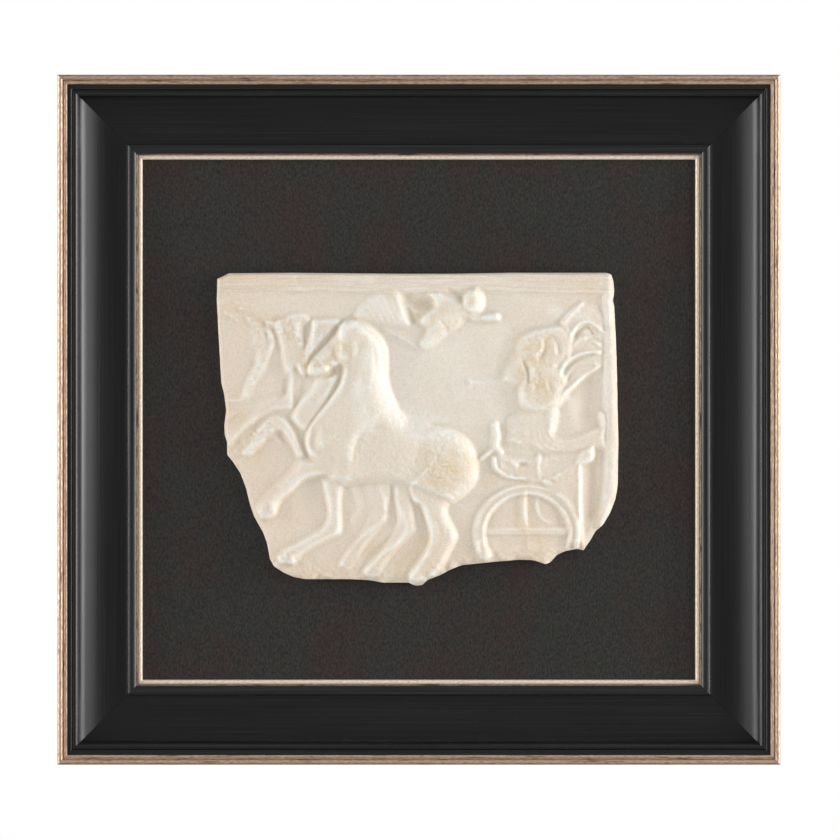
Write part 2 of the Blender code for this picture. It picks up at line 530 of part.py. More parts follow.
def carve_charioteer(c):
    """A draped driver, leaning back, with one arm stretched out to the reins."""
    c.swell([(300, 142, 18), (310, 156, 14)], -0.14)
    c.swell([(306, 80, 9), (303, 94, 11), (298, 108, 8)], -0.07)
    c.swell([(372, 134, 8), (384, 128, 15), (386, 150, 15)], -0.12)
    c.limb([(312, 122, 9), (300, 122, 7), (286, 122, 5), (272, 122, 4)], 0.1)
    c.swell([(264, 118, 2), (270, 121, 2), (269, 127, 2), (262, 126, 2)], 0.098)
    # Cloak: ribs that bend away from the shoulder, each with a deep cut under it
    c.mass([(362, 62, 4), (368, 52, 4), (380, 42, 5), (394, 44, 8), (407, 60, 8), (406, 84, 8),
            (402, 106, 8), (388, 114, 5), (374, 128, 4), (362, 138, 4), (358, 110, 4)], 0.16, 5)
    for start, middle, stop, wide, high in CLOAK_RIBS:
        c.swell(bow(start, middle, stop, wide, wide * 0.8), high)
    for start, middle, stop, wide in CLOAK_CUTS:
        c.swell(bow(start, middle, stop, wide, wide * 0.7), -0.2)
    # Veil, hair and the worn face: one rounded block
    c.mass([(321, 74, 7), (330, 69, 6), (344, 66, 6), (358, 64, 6), (368, 69, 6), (372, 80, 6),
            (371, 94, 7), (364, 104, 8), (352, 118, 10), (340, 128, 12), (322, 130, 10), (302, 122, 6),
            (305, 112, 6), (312, 100, 7), (317, 88, 7)], 0.34, 7, soft=0.08)
    c.swell([(320, 76, 1.8), (317, 89, 2.2), (311, 101, 2.4), (304, 113, 2.4), (299, 120, 2)], 0.06)
    c.swell([(338, 77, 1.8), (343, 84, 2.4), (341, 91, 2.6), (335, 95, 2)], 0.11)
    c.swell([(344.5, 82, 2.2), (344, 91, 3), (340, 98, 2.4)], -0.13)
    c.swell(bow((346, 78), (356, 79), (359, 92), 2.2, 2.6), -0.12)
    c.swell([(366, 68, 2), (370, 74, 3), (370.5, 84, 3.2), (368, 97, 2.8)], 0.12)
    c.swell([(354, 88, 3), (355, 95, 3)], 0.06)
    c.swell([(330, 72, 1.6), (346, 69, 2), (360, 68, 1.8)], 0.05)
    # Trunk: a drilled groove at the left and a broad bright fall at the right
    c.mass([(318, 112, 8), (332, 102, 8), (350, 104, 8), (362, 110, 8), (368, 122, 13), (367, 136, 14),
            (360, 148, 12), (346, 154, 8), (330, 154, 8), (319, 142, 7)], 0.42, 8, soft=0.1)
    c.swell([(324, 102, 2.2), (328, 111, 3), (328.5, 122, 2.6)], -0.2)
    c.swell([(332, 106, 1.8), (332, 118, 2.2), (331, 134, 1.8)], 0.06)
    c.swell([(352, 106, 2), (359, 109, 2.8), (363, 120, 2.6)], 0.09)
    c.swell([(368, 97, 2.6), (362, 105, 2.8), (360, 112, 2.4)], 0.09)
    c.swell([(345, 120, 1.6), (348, 131, 1.8)], 0.07)
    c.swell([(349, 124, 2), (351, 130, 1.8)], -0.1)
    c.swell([(325, 144, 1.6), (327, 152, 1.8), (330, 157, 1.6)], -0.05)
    # Skirt, whose back edge is bright, and the curled folds at its hem
    c.mass([(308, 158, 10), (322, 150, 8), (346, 148, 6), (358, 148, 8), (358, 162, 8), (356, 174, 8),
            (372, 176, 6), (400, 166, 6), (404, 180, 5), (400, 190, 6), (360, 194, 6), (330, 190, 8),
            (306, 184, 10)], 0.2, 8)
    c.mass([(344, 148, 6), (352, 144, 8), (359, 148, 10), (359, 162, 11), (355, 174, 10), (347, 174, 6),
            (345, 162, 6)], 0.34, 6, soft=0.1)
    for i in range(4):
        r = 8 + 5 * i
        c.swell(bow((356 - r, 170), (358 - 0.7 * r, 172 + 0.75 * r),
                (360 + 0.3 * r, 174 + r), 1.8, 1.6), 0.085)
    for i in range(3):
        c.swell([(368, 182 + 5 * i, 1.6), (378, 179 + 4 * i, 2), (390, 173 + 4 * i, 2),
                 (402, 167 + 5 * i, 1.6)], 0.06)
    c.ridge([(402, 154, 4, 3), (404, 166, 4, 3), (402, 176, 4, 3), (404, 186, 4, 3)], 0.27)


# The chariot


HUB_X, HUB_Y, WHEEL = 327.0, 274.0, 48.0
WHEEL_END = 390


def wheel_arc(radius, first, reach):
    """Points on a ring round the hub, from an angle in degrees to where the wheel is broken off."""
    turns = np.radians(np.arange(first, WHEEL_END, 12))
    return [(HUB_X + radius * math.cos(a), HUB_Y + 0.92 * radius * math.sin(a), reach) for a in turns]


def carve_chariot(c):
    """The car with its rails, and the spoked wheel, broken off below."""
    c.mass([(296, 190, 5), (312, 196, 6), (340, 196, 6), (372, 192, 6), (392, 188, 5), (382, 206, 5),
            (366, 216, 5), (342, 226, 5), (316, 220, 4), (298, 210, 4)], 0.18, 5)
    c.ridge([(296, 164, 6, 2.5), (298, 176, 8, 2.5), (297, 186, 8, 2.5), (301, 192, 4, 2.5)], 0.25)
    c.ridge([(280, 199, 2.4, 2.4), (288, 193, 2.6, 2.6), (297, 187, 2.4, 2.4)], 0.22)
    c.ridge([(294, 198, 2.2, 2.2), (295, 207, 2.4, 2.6), (302, 214, 2.4, 2.6), (312, 218, 2.2, 2.4),
             (324, 219, 2, 2)], 0.34)
    c.swell([(304, 203, 5), (310, 208, 4)], -0.06)
    c.swell([(312, 201, 1.4), (315, 207, 1.6), (317, 213, 1.4)], 0.084)
    c.swell([(320, 205, 3.4), (326, 205, 3.8)], -0.2)
    c.ridge([(339, 197, 2.2, 2.2), (338, 206, 2.2, 2.4), (338.5, 215, 2, 2.2)], 0.34)
    c.swell([(348, 203, 5), (360, 204, 4)], -0.06)
    # Back rail with its square end and a slot beside it, and the brace from there down to the wheel
    c.mass([(374, 204, 3), (380, 192, 3), (392, 185, 3), (395, 190, 3), (394, 200, 3),
            (382, 206, 3)], 0.36, 3)
    c.swell([(395.5, 188, 1.8), (395.5, 200, 1.8)], -0.14)
    c.mass([(338, 220, 3), (350, 216, 4), (365, 208, 4), (378, 202, 4), (382, 208, 4), (382, 262, 4),
            (374, 252, 3), (360, 238, 3), (346, 228, 3)], 0.28, 4)
    c.swell([(344, 222, 2), (356, 216, 2.4), (368, 208, 2.4), (378, 203, 2)], 0.1)
    c.swell([(380, 206, 2), (380, 224, 2.6), (380, 244, 2.6), (382, 270, 2.6), (383, 286, 2.4)], 0.15)
    c.swell([(348, 220, 3), (354, 222, 3)], -0.098)
    # Wheel
    c.limb(wheel_arc(WHEEL, 150, 6.5), 0.24, flat=4, wall=0.2)
    c.swell(wheel_arc(WHEEL + 4.5, 224, 1.8), 0.09)
    c.swell(wheel_arc(WHEEL - 4.5, 166, 1.8), 0.11)
    c.swell(wheel_arc(WHEEL, 190, 2.2), -0.06)
    c.swell(wheel_arc(WHEEL + 4, 306, 4.5), 0.1)
    c.swell([(278, 282, 1.8), (278, 292, 2.2), (280, 300, 2)], 0.14)
    c.limb([(HUB_X - 5, HUB_Y - WHEEL + 6, 4), (HUB_X - 5, HUB_Y - 8, 4)], 0.12, flat=4)
    c.swell([(HUB_X - 2, HUB_Y - WHEEL + 6, 1.7), (HUB_X - 2, HUB_Y - 22, 1.9),
             (HUB_X, HUB_Y - 4, 2)], 0.14)
    c.swell([(HUB_X + 1, HUB_Y + 4, 1.7), (HUB_X + 2, HUB_Y + 16, 1.7)], 0.07)
    c.limb([(HUB_X - WHEEL + 3, HUB_Y - 2, 4.5), (HUB_X + WHEEL - 2, HUB_Y - 2, 4.5)], 0.14, flat=4)
    c.swell([(HUB_X - 26, HUB_Y - 5, 1.4), (HUB_X + 6, HUB_Y - 5, 1.6),
             (HUB_X + WHEEL - 4, HUB_Y - 5, 1.4)], 0.07)
    c.limb([(HUB_X - 1, HUB_Y - 3, 6), (HUB_X, HUB_Y - 2, 6)], 0.14, flat=3)
    c.ridge([(338, 236, 1.8, 1.8), (336.5, 246, 1.8, 1.8), (340, 257, 1.8, 1.8),
             (350, 264, 1.6, 1.6)], 0.13)
    for x0, y0, x1, y1, r in ((285, 262, 290, 256, 6), (356, 248, 360, 262, 8), (300, 284, 320, 284, 8),
                              (340, 284, 366, 282, 8)):
        c.swell([(x0, y0, r), (x1, y1, r)], -0.07)


CARVERS = (carve_border, carve_far_horses, carve_raised_forelegs, carve_far_legs, carve_flying_figure,
           carve_charioteer, carve_chariot, carve_near_horse)
SIDE_SHARE = 0.55
BACK_INSET = 0.004


def make_relief():
    grid = sheet_grid(GRID_SQUARES)
    rows, columns = grid.shape[:2]
    x, y = grid[..., 0].ravel(), grid[..., 1].ravel()
    stone = Carving(x, y)
    for carve in CARVERS:
        carve(stone)
    worn = worn_edge(x, y)
    depth = SLAB_FACE + CARVING_DEPTH * stone.z * (1 - EDGE_LOSS * worn) - EDGE_ROUNDING * worn
    middle_x = SLAB_LEFT + SLAB_SQUARES / 2
    middle_y = (SLAB_TOP + SLAB_BOTTOM) / 2

    def place(px, py, d):
        across = (px - middle_x) * SQUARE + RELIEF_SHIFT
        return across, -d, (middle_y - py) * SQUARE + FRAME_MIDDLE - RELIEF_DROP

    bm = bmesh.new()
    face = np.array([bm.verts.new(place(*row)) for row in zip(x, y, depth)]).reshape(rows, columns)
    for i in range(rows - 1):
        for j in range(columns - 1):
            bm.faces.new((face[i, j], face[i, j + 1], face[i + 1, j + 1], face[i + 1, j]))
    rim = list(face[0, :-1]) + list(face[:-1, -1]) + list(face[-1, :0:-1]) + list(face[:0:-1, 0])
    middle = np.mean([v.co for v in rim], axis=0)
    last = rim
    for inset, share in ((0.0, SIDE_SHARE), (BACK_INSET, 0.0)):
        ring = []
        for v in rim:
            back = -v.co.y * share - RELIEF_BACK * (share - 1)
            x_in = v.co.x + (middle[0] - v.co.x) * inset
            z_in = v.co.z + (middle[2] - v.co.z) * inset
            ring.append(bm.verts.new((x_in, -back, z_in)))
        for i in range(len(rim)):
            j = (i + 1) % len(rim)
            bm.faces.new((last[i], last[j], ring[j], ring[i]))
        last = ring
    bm.faces.new(last)
    bmesh.ops.recalc_face_normals(bm, faces=bm.faces)
    bmesh.ops.triangulate(bm, faces=bm.faces)
    faces = len(bm.faces)
    mesh = bpy.data.meshes.new("relief")
    bm.to_mesh(mesh)
    bm.free()
    made = mesh_object("relief", mesh, material("marble", (0.80, 0.75, 0.66), 0.45))
    fewer = made.modifiers.new("Fewer faces", "DECIMATE")
    fewer.ratio = RELIEF_FACES / faces


clear_scene()
make_frame()
make_board()
make_relief()
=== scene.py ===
# %% [markdown]
# # A framed marble relief
# A broken piece of carved marble is fixed to a dark stained board, inside a wide scooped frame that is
# black with two gilt lines. This lesson dresses the six solid pieces of that object: four lengths of
# moulding, the board and the stone. It starts from the solids, because they settle every size, and it
# measures them before anything is added.

# %% Load the solids and measure them
import math

import bpy
import numpy as np
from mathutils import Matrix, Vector


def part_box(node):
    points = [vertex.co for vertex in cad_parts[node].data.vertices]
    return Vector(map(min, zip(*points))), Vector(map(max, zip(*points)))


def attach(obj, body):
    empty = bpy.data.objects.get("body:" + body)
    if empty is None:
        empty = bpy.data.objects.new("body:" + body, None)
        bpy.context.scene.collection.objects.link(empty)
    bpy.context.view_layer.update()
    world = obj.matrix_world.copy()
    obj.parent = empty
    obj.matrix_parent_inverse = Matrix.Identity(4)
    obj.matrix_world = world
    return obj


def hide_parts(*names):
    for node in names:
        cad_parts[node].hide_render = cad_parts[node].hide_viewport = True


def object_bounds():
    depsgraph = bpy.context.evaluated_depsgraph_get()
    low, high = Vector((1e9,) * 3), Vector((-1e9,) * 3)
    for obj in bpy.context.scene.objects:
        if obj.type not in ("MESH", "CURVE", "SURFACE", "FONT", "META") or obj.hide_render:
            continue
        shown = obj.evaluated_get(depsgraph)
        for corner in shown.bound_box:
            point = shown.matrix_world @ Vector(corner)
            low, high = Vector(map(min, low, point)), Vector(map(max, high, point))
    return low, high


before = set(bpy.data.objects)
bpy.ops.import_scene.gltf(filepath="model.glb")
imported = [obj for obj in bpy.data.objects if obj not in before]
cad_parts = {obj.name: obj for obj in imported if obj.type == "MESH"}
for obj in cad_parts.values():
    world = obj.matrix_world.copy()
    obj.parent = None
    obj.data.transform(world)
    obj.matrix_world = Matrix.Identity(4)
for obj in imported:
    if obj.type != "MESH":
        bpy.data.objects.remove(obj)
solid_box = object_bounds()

(left, front, bottom), (right, back, top) = [tuple(corner) for corner in solid_box]
width, height = right - left, top - bottom
middle_x, middle_z = (left + right) / 2, (bottom + top) / 2
print(f"frame {width * 1000:.0f} x {height * 1000:.0f} mm, {(back - front) * 1000:.0f} mm deep")

# %% [markdown]
# ## Where the picture is taken from
# The frame is photographed square on, as a catalogue shows a picture, from far enough away that the sides
# of the moulding stay hidden. A long lens does that. The picture is 840 pixels wide and the frame fills
# 723.4 of them, so the width that the camera takes in follows from the frame's own width.

# %% The camera
PICTURE = 840
FRAME_ACROSS = 723.4
FRAME_CENTRE = (418.9, 419.7)
LENS, SENSOR = 180.0, 36.0

metres_per_pixel = width / FRAME_ACROSS
distance = PICTURE * metres_per_pixel * LENS / SENSOR
camera = bpy.data.objects.new("camera", bpy.data.cameras.new("camera"))
camera.data.lens, camera.data.sensor_width = LENS, SENSOR
aside = (PICTURE / 2 - FRAME_CENTRE[0]) * metres_per_pixel
below = (PICTURE / 2 - FRAME_CENTRE[1]) * metres_per_pixel
camera.location = (middle_x + aside, front - distance, middle_z - below)
camera.rotation_euler = (math.radians(90), 0, 0)
bpy.context.collection.objects.link(camera)
bpy.context.scene.camera = camera
bpy.context.scene.view_settings.view_transform = "Standard"
print(f"camera {distance:.2f} m from the frame's front, {metres_per_pixel * 1000:.3f} mm to a pixel")

# %% [markdown]
# ## Colours and nodes
# Colours are written as the sRGB hex values that a paint chart or a picture editor gives. Blender mixes
# light in linear values, so one function turns the first into the second. One more function adds a shader
# node: it takes the node's kind, its settings and what goes into each of its sockets, a number or another
# node's output.


# %% Helpers for materials
def colour(hexed):
    parts = [int(hexed[i:i + 2], 16) / 255 for i in (1, 3, 5)]
    return (*[p / 12.92 if p <= 0.04045 else ((p + 0.055) / 1.055) ** 2.4 for p in parts], 1.0)


def add(tree, kind, sockets=(), **settings):
    """Adds a node. sockets is a dict of socket name or number to a value or to an output."""
    made = tree.nodes.new(kind)
    for key, value in settings.items():
        setattr(made, key, value)
    for key, value in dict(sockets).items():
        if isinstance(value, bpy.types.NodeSocket):
            tree.links.new(value, made.inputs[key])
        else:
            made.inputs[key].default_value = value
    return made


def finish(name):
    """A new material, with its tree and its shader."""
    made = bpy.data.materials.new(name)
    made.use_nodes = True
    return made, made.node_tree, made.node_tree.nodes["Principled BSDF"]


def blend(tree, share, low, high):
    """Mixes two colours by a share from 0 to 1."""
    return add(tree, "ShaderNodeMix", {0: share, 6: low, 7: high}, data_type="RGBA").outputs[2]


def spread(tree, value, low, high, to_low=0.0, to_high=1.0):
    """Takes values from low to high onto another range, and stops at its ends."""
    return add(tree, "ShaderNodeMapRange", {0: value, 1: low, 2: high, 3: to_low, 4: to_high}).outputs[0]


def noise(tree, place, scale, detail, roughness=0.5):
    """Random clouds from 0 to 1: how many to the unit, how many finer layers, how strong those are."""
    sockets = {"Vector": place, "Scale": scale, "Detail": detail, "Roughness": roughness}
    return add(tree, "ShaderNodeTexNoise", sockets).outputs[0]


def times(tree, one, other):
    return add(tree, "ShaderNodeMath", {0: one, 1: other}, operation="MULTIPLY").outputs[0]


# %% [markdown]
# ## The studio
# The plaque hangs free in front of white paper. The paper is the world's own colour, bright to the camera
# and much weaker as a light, because black paint that mirrored a full white room would turn grey. Two tall
# soft boxes stand at the sides, the right one stronger: they rake the carving, draw the long soft
# highlights on the upright rails and leave the level ones dark. Two wide dim screens stand at 45 degrees
# and lift what faces forward. A weak lamp in front and a pale floor below light the work too, but the shiny
# lacquer doesn't mirror either of them.

# %% World, soft boxes and floor
PAPER_LIGHT = 0.225
world = bpy.data.worlds.new("paper")
world.use_nodes = True
tree = world.node_tree
seen = add(tree, "ShaderNodeLightPath").outputs["Is Camera Ray"]
strength = spread(tree, seen, 0, 1, PAPER_LIGHT, 1.0)
tree.nodes["Background"].inputs[0].default_value = colour("#ffffff")
tree.links.new(strength, tree.nodes["Background"].inputs[1])
bpy.context.scene.world = world


def soft_box(name, place, size, watts):
    """A flat lamp at a place in metres, so wide and so high, that faces the middle of the frame."""
    lamp = bpy.data.lights.new(name, "AREA")
    lamp.shape, lamp.size, lamp.size_y, lamp.energy = "RECTANGLE", *size, watts
    made = bpy.data.objects.new(name, lamp)
    made.location = place
    aim = Vector((middle_x, 0, middle_z)) - Vector(place)
    made.rotation_euler = aim.to_track_quat("-Z", "Y").to_euler()
    bpy.context.collection.objects.link(made)


soft_box("soft_box_right", (2.1, -0.5, middle_z + 0.3), (0.8, 1.6), 46)
soft_box("soft_box_left", (-2.1, -0.5, middle_z + 0.25), (0.8, 1.6), 31)
soft_box("screen_right", (1.9, -1.9, middle_z + 0.2), (1.3, 1.8), 18)
soft_box("screen_left", (-1.9, -1.9, middle_z + 0.2), (1.3, 1.8), 13)
soft_box("soft_box_front", (0.3, -2.6, middle_z + 1.1), (1.2, 0.8), 5)
bpy.data.objects["soft_box_front"].visible_glossy = False

FLOOR_BELOW = 0.55
bpy.ops.mesh.primitive_plane_add(size=2.6, location=(middle_x, -0.2, bottom - FLOOR_BELOW))
floor = bpy.context.object
floor.name = "floor"
paper, tree, shader = finish("pale matt paper")
shader.inputs["Base Color"].default_value = colour("#e9e7e3")
shader.inputs["Roughness"].default_value = 0.9
floor.data.materials.append(paper)
floor.visible_glossy = False

# %% [markdown]
# ## The moulding
# A frame like this is cut from long lengths of moulding: a cutter shapes the whole section in one pass, the
# lengths are painted and gilded, and then sawn at 45 degrees and joined. So one section is drawn once, and
# each rail is that section pulled along its side and cut by the mitre. From the outside in it has a gilt
# bead and fillet, a black step, the wide hollow that is called a scoop, a black roll, and a gilt lip round
# the picture. Each stretch of the section notes its coat, so that the paint lines fall on the edges where a
# gilder leaves them.

# %% The section of the moulding
low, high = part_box("frame_top")
RAIL = high[2] - low[2]
DEPTH = high[1] - low[1]
board_low, board_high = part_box("backing_panel")
REBATE = (board_high[0] - board_low[0] + 2 * RAIL - width) / 2
BOARD_FACE = -board_low[1]
BEAD, STEP, ROLL, LIP = 0.0088, 0.0097, 0.0102, 0.0050
STEP_DROP, SCOOP_LOW, ROLL_RISE, LIP_TOP = 0.003, 0.023, 0.0030, 0.0215
GILT, BLACK, LIP_GILT, BARE, WASH, RUBBED = range(6)
ARRIS = (0.0034, 0.0028)
QUIRK = 0.0012
BOARD_GAP = 0.0003


def arc(coat, centre, radii, start, stop, steps):
    """Rows of the section along part of an ellipse, between two turns in degrees, all with one coat."""
    turns = [math.radians(start + (stop - start) * i / steps) for i in range(steps + 1)]
    return [(centre[0] + radii[0] * math.cos(t), centre[1] + radii[1] * math.sin(t), coat) for t in turns]


def section():
    """Rows of (in from the outer edge, out from the wall, coat of the stretch that follows)."""
    bead = BEAD * 0.28
    scoop_in, scoop_out, shelf = RAIL - LIP - ROLL, BEAD + STEP, DEPTH - STEP_DROP
    fillet, lip_in = DEPTH - bead * 0.5, RAIL - LIP
    rows = [(0.0, 0.0, BLACK), (0.0, DEPTH - bead * 2.6, GILT)]
    rows += arc(GILT, (bead, DEPTH - bead), (bead, bead), 180, 0, 16)
    rows += [(bead * 2, DEPTH - bead * 0.7, WASH), (bead * 2.3, DEPTH - bead * 0.75, GILT)]
    rows += arc(GILT, (BEAD - bead * 0.55, fillet - 0.0006), (bead * 0.55, 0.0006), 180, 0, 8)
    rows += [(BEAD, shelf - 0.0008, BLACK), (BEAD + STEP * 0.1, shelf - 0.0008, RUBBED)]
    rows += arc(RUBBED, (BEAD + STEP * 0.38, shelf - 0.0008), (STEP * 0.08, 0.0009), 180, 0, 8)
    rows += [(BEAD + STEP * 0.5, shelf - 0.0014, BLACK), (BEAD + STEP * 0.62, shelf - 0.0010, BLACK)]
    rows += arc(BLACK, (scoop_out - ARRIS[0], shelf - 0.0027), ARRIS, 100, 72, 4)
    rows += arc(RUBBED, (scoop_out - ARRIS[0], shelf - 0.0027), ARRIS, 68, 8, 10)
    rows += arc(BLACK, (scoop_in, shelf), (scoop_in - scoop_out, shelf - SCOOP_LOW), 188, 270, 40)
    rows += [(scoop_in + QUIRK, SCOOP_LOW + 0.0002, BLACK)]
    roll = (ROLL - QUIRK) / 2
    rows += arc(RUBBED, (lip_in - roll, SCOOP_LOW + 0.0003), (roll, ROLL_RISE), 180, 0, 20)
    rows += [(lip_in, LIP_TOP - 0.0002, WASH), (lip_in + LIP * 0.16, LIP_TOP - 0.0006, WASH)]
    rows += arc(LIP_GILT, (lip_in + LIP * 0.6, LIP_TOP - 0.0012), (LIP * 0.4, 0.0012), 160, 0, 10)
    rows += [(RAIL, LIP_TOP - 0.0020, LIP_GILT), (RAIL, BOARD_FACE + BOARD_GAP, BARE)]
    rows += [(RAIL - REBATE, BOARD_FACE + BOARD_GAP, BARE), (RAIL - REBATE, 0.0, BARE)]
    return rows


print(f"section of {len(section())} points, {RAIL * 1000:.0f} mm wide, rebate {REBATE * 1000:.1f} mm")

# %% [markdown]
# ## Paint, gilt and bare wood
# The black is a satin lacquer over sanded wood: a dark coat whose gloss is broken by the long strokes of
# the brush and by dust that dried in it. The gilt is metal leaf over red clay, rubbed through on the edges
# and then toned, so it is metal with brown where the clay shows. Streaks have to run along each rail, so
# both materials read a map that is laid along the length of the moulding, in metres. Where hands and cloths
# reach, on the step and the roll, the lacquer is rubbed smoother and a little paler, and a brown wash has
# settled in the grooves beside the gilt.


# %% Lacquer, leaf and bare wood
def along_rail(tree, length_mm, across_mm):
    """Coordinates for a pattern with marks of that length along the rail and that width across it."""
    laid = add(tree, "ShaderNodeUVMap", uv_map="laid").outputs[0]
    scale = (1000 / length_mm, 1000 / across_mm, 1.0)
    return add(tree, "ShaderNodeMapping", {"Vector": laid, "Scale": scale}).outputs[0]


def black_lacquer(name, low, high, roughness):
    made, tree, shader = finish(name)
    strokes = noise(tree, along_rail(tree, 220, 1.6), 1, 4)
    clouds = noise(tree, along_rail(tree, 60, 25), 1, 3)
    flecks = along_rail(tree, 9, 9)
    dust = add(tree, "ShaderNodeTexVoronoi", {"Vector": flecks, "Scale": 1}).outputs["Distance"]
    speck = spread(tree, dust, 0.02, 0.05, 1, 0)
    coat = blend(tree, spread(tree, strokes, 0.35, 0.7), colour(low), colour(high))
    tree.links.new(blend(tree, speck, coat, colour("#4a4a4c")), shader.inputs["Base Color"])
    gloss = times(tree, spread(tree, strokes, 0.3, 0.7, 0.0, 0.12), clouds)
    rough = add(tree, "ShaderNodeMath", {0: gloss, 1: roughness}, operation="ADD").outputs[0]
    tree.links.new(rough, shader.inputs["Roughness"])
    bump = add(tree, "ShaderNodeBump", {"Height": strokes, "Strength": 0.25, "Distance": 0.0003})
    tree.links.new(bump.outputs[0], shader.inputs["Normal"])
    shader.inputs["IOR"].default_value = 1.5
    return made


def toned_leaf(name, leaf, toned, clay, wear, bright=0.85):
    made, tree, shader = finish(name)
    shader.inputs["Metallic"].default_value = bright
    long_marks = noise(tree, along_rail(tree, 5, 0.9), 1, 6)
    patches = noise(tree, along_rail(tree, 30, 2.5), 1, 4)
    tone = blend(tree, spread(tree, long_marks, 0.35, 0.65), colour(toned), colour(leaf))
    rubbed = spread(tree, patches, wear, wear + 0.16)
    tree.links.new(blend(tree, rubbed, tone, colour(clay)), shader.inputs["Base Color"])
    tree.links.new(spread(tree, long_marks, 0.3, 0.7, 0.62, 0.48), shader.inputs["Roughness"])
    bump = add(tree, "ShaderNodeBump", {"Height": long_marks, "Strength": 0.2, "Distance": 0.0003})
    tree.links.new(bump.outputs[0], shader.inputs["Normal"])
    return made


def bare_wood():
    made, tree, shader = finish("bare pine, sawn and sanded")
    grain = noise(tree, along_rail(tree, 90, 1.5), 1, 6)
    wood = blend(tree, spread(tree, grain, 0.3, 0.7), colour("#b08a5c"), colour("#d2b083"))
    tree.links.new(wood, shader.inputs["Base Color"])
    shader.inputs["Roughness"].default_value = 0.7
    return made


coats = [toned_leaf("outer gilt bead, leaf over red clay", "#e2ccb4", "#b5937b", "#7a5443", 0.56),
         black_lacquer("satin black lacquer, brushed", "#0c0c0d", "#161618", 0.3),
         toned_leaf("inner gilt lip, leaf rubbed bright", "#fff4e4", "#e0c8ae", "#a2795c", 0.62, 0.45),
         bare_wood(),
         toned_leaf("brown wash settled in the grooves", "#bb9a84", "#8f6c58", "#5e4234", 0.50),
         black_lacquer("black lacquer rubbed smooth on the raised parts", "#1a1b1c", "#2a2b2d", 0.2)]
print("coats:", ", ".join(coat.name for coat in coats))

# %% [markdown]
# ## Four mitred rails
# Every point of the section runs to the 45 degree saw cut, so a point further in has a shorter run. The
# rails are divided along their length, and a very small unevenness is pressed into them, because a painted
# moulding is never as straight as a drawn line and its highlights waver a little.

# %% The rails
SAW_GAP = 0.0001
STRETCH = 0.006


def waver(along, inward, seed):
    """A slow unevenness of a few hundredths of a millimetre."""
    return 0.00004 * (math.sin(along * 61 + seed) + math.sin(along * 23 + inward * 90 + 2.1 * seed))


def rail(node, run, across, turn):
    rows = section()
    lengths = [math.hypot(b[0] - a[0], b[1] - a[1]) for a, b in zip(rows, rows[1:] + rows[:1])]
    girth = [sum(lengths[:i]) for i in range(len(rows) + 1)]
    cuts = int(run / STRETCH)
    verts, faces, coat, laid = [], [], [], []
    for i in range(cuts + 1):
        for k, (inward, out, _) in enumerate(rows):
            along = (2 * i / cuts - 1) * (run / 2 - inward - SAW_GAP * (out > BOARD_FACE + BOARD_GAP))
            on_back = out == 0.0
            lift = 0.0 if on_back or k < 2 else waver(along, inward, turn)
            x, z = along, across - inward
            spun = (x * math.cos(turn) - z * math.sin(turn), x * math.sin(turn) + z * math.cos(turn))
            verts.append((spun[0] + middle_x, back - out + max(lift, 0), spun[1] + middle_z))
    count = len(rows)
    for i in range(cuts):
        for k in range(count):
            n = (k + 1) % count
            faces.append((i * count + k, (i + 1) * count + k, (i + 1) * count + n, i * count + n))
            coat.append(rows[k][2])
            a0, a1 = run * i / cuts, run * (i + 1) / cuts
            laid += [(a0, girth[k]), (a1, girth[k]), (a1, girth[k + 1]), (a0, girth[k + 1])]
    for end in (range(count - 1, -1, -1), range(cuts * count, cuts * count + count)):
        faces.append(tuple(end))
        coat.append(BLACK)
        laid += [(0.0, 0.0)] * count
    mesh = bpy.data.meshes.new(node + "_moulding")
    mesh.from_pydata(verts, [], faces)
    mesh.uv_layers.new(name="laid").data.foreach_set("uv", [v for pair in laid for v in pair])
    for made in coats:
        mesh.materials.append(made)
    mesh.polygons.foreach_set("material_index", coat)
    mesh.shade_smooth()
    mesh.set_sharp_from_angle(angle=math.radians(35))
    piece = bpy.data.objects.new(node + "_moulding", mesh)
    bpy.context.collection.objects.link(piece)
    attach(piece, "root")
    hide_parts(node)
    return len(faces)


for node, run, across, turn in (
        ("frame_top", width, height / 2, 0.0), ("frame_bottom", width, height / 2, math.pi),
        ("frame_left", height, width / 2, math.pi / 2), ("frame_right", height, width / 2, -math.pi / 2)):
    print(node, rail(node, run, across, turn), "faces")

# %% [markdown]
# ## The board
# The stone is fixed to a thin veneered board, stained almost black so that the pale stone stands out. Stain
# sinks in unevenly: the pores stay dark, and the harder lines between them show a cool grey in some places
# and a red-brown in others. The solid board has the right shape and keeps it.


# %% Stained board
def stained_board():
    made, tree, shader = finish("veneered board, stained black-brown")
    place = add(tree, "ShaderNodeTexCoord").outputs["Object"]
    fine = add(tree, "ShaderNodeMapping", {"Vector": place, "Scale": (620, 60, 330)}).outputs[0]
    broad = add(tree, "ShaderNodeMapping", {"Vector": place, "Scale": (17, 20, 13)}).outputs[0]
    pores = noise(tree, fine, 1, 5, 0.7)
    bands = noise(tree, broad, 1, 4, 0.6)
    cool = blend(tree, spread(tree, pores, 0.36, 0.66), colour("#030303"), colour("#34332e"))
    warm = blend(tree, spread(tree, pores, 0.36, 0.66), colour("#070304"), colour("#3e2a29"))
    wood = blend(tree, spread(tree, bands, 0.42, 0.66), cool, warm)
    tree.links.new(wood, shader.inputs["Base Color"])
    tree.links.new(spread(tree, pores, 0.3, 0.7, 0.62, 0.45), shader.inputs["Roughness"])
    bump = add(tree, "ShaderNodeBump", {"Height": pores, "Strength": 0.35, "Distance": 0.0004})
    tree.links.new(bump.outputs[0], shader.inputs["Normal"])
    return made


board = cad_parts["backing_panel"]
board.data.materials.clear()
board.data.materials.append(stained_board())

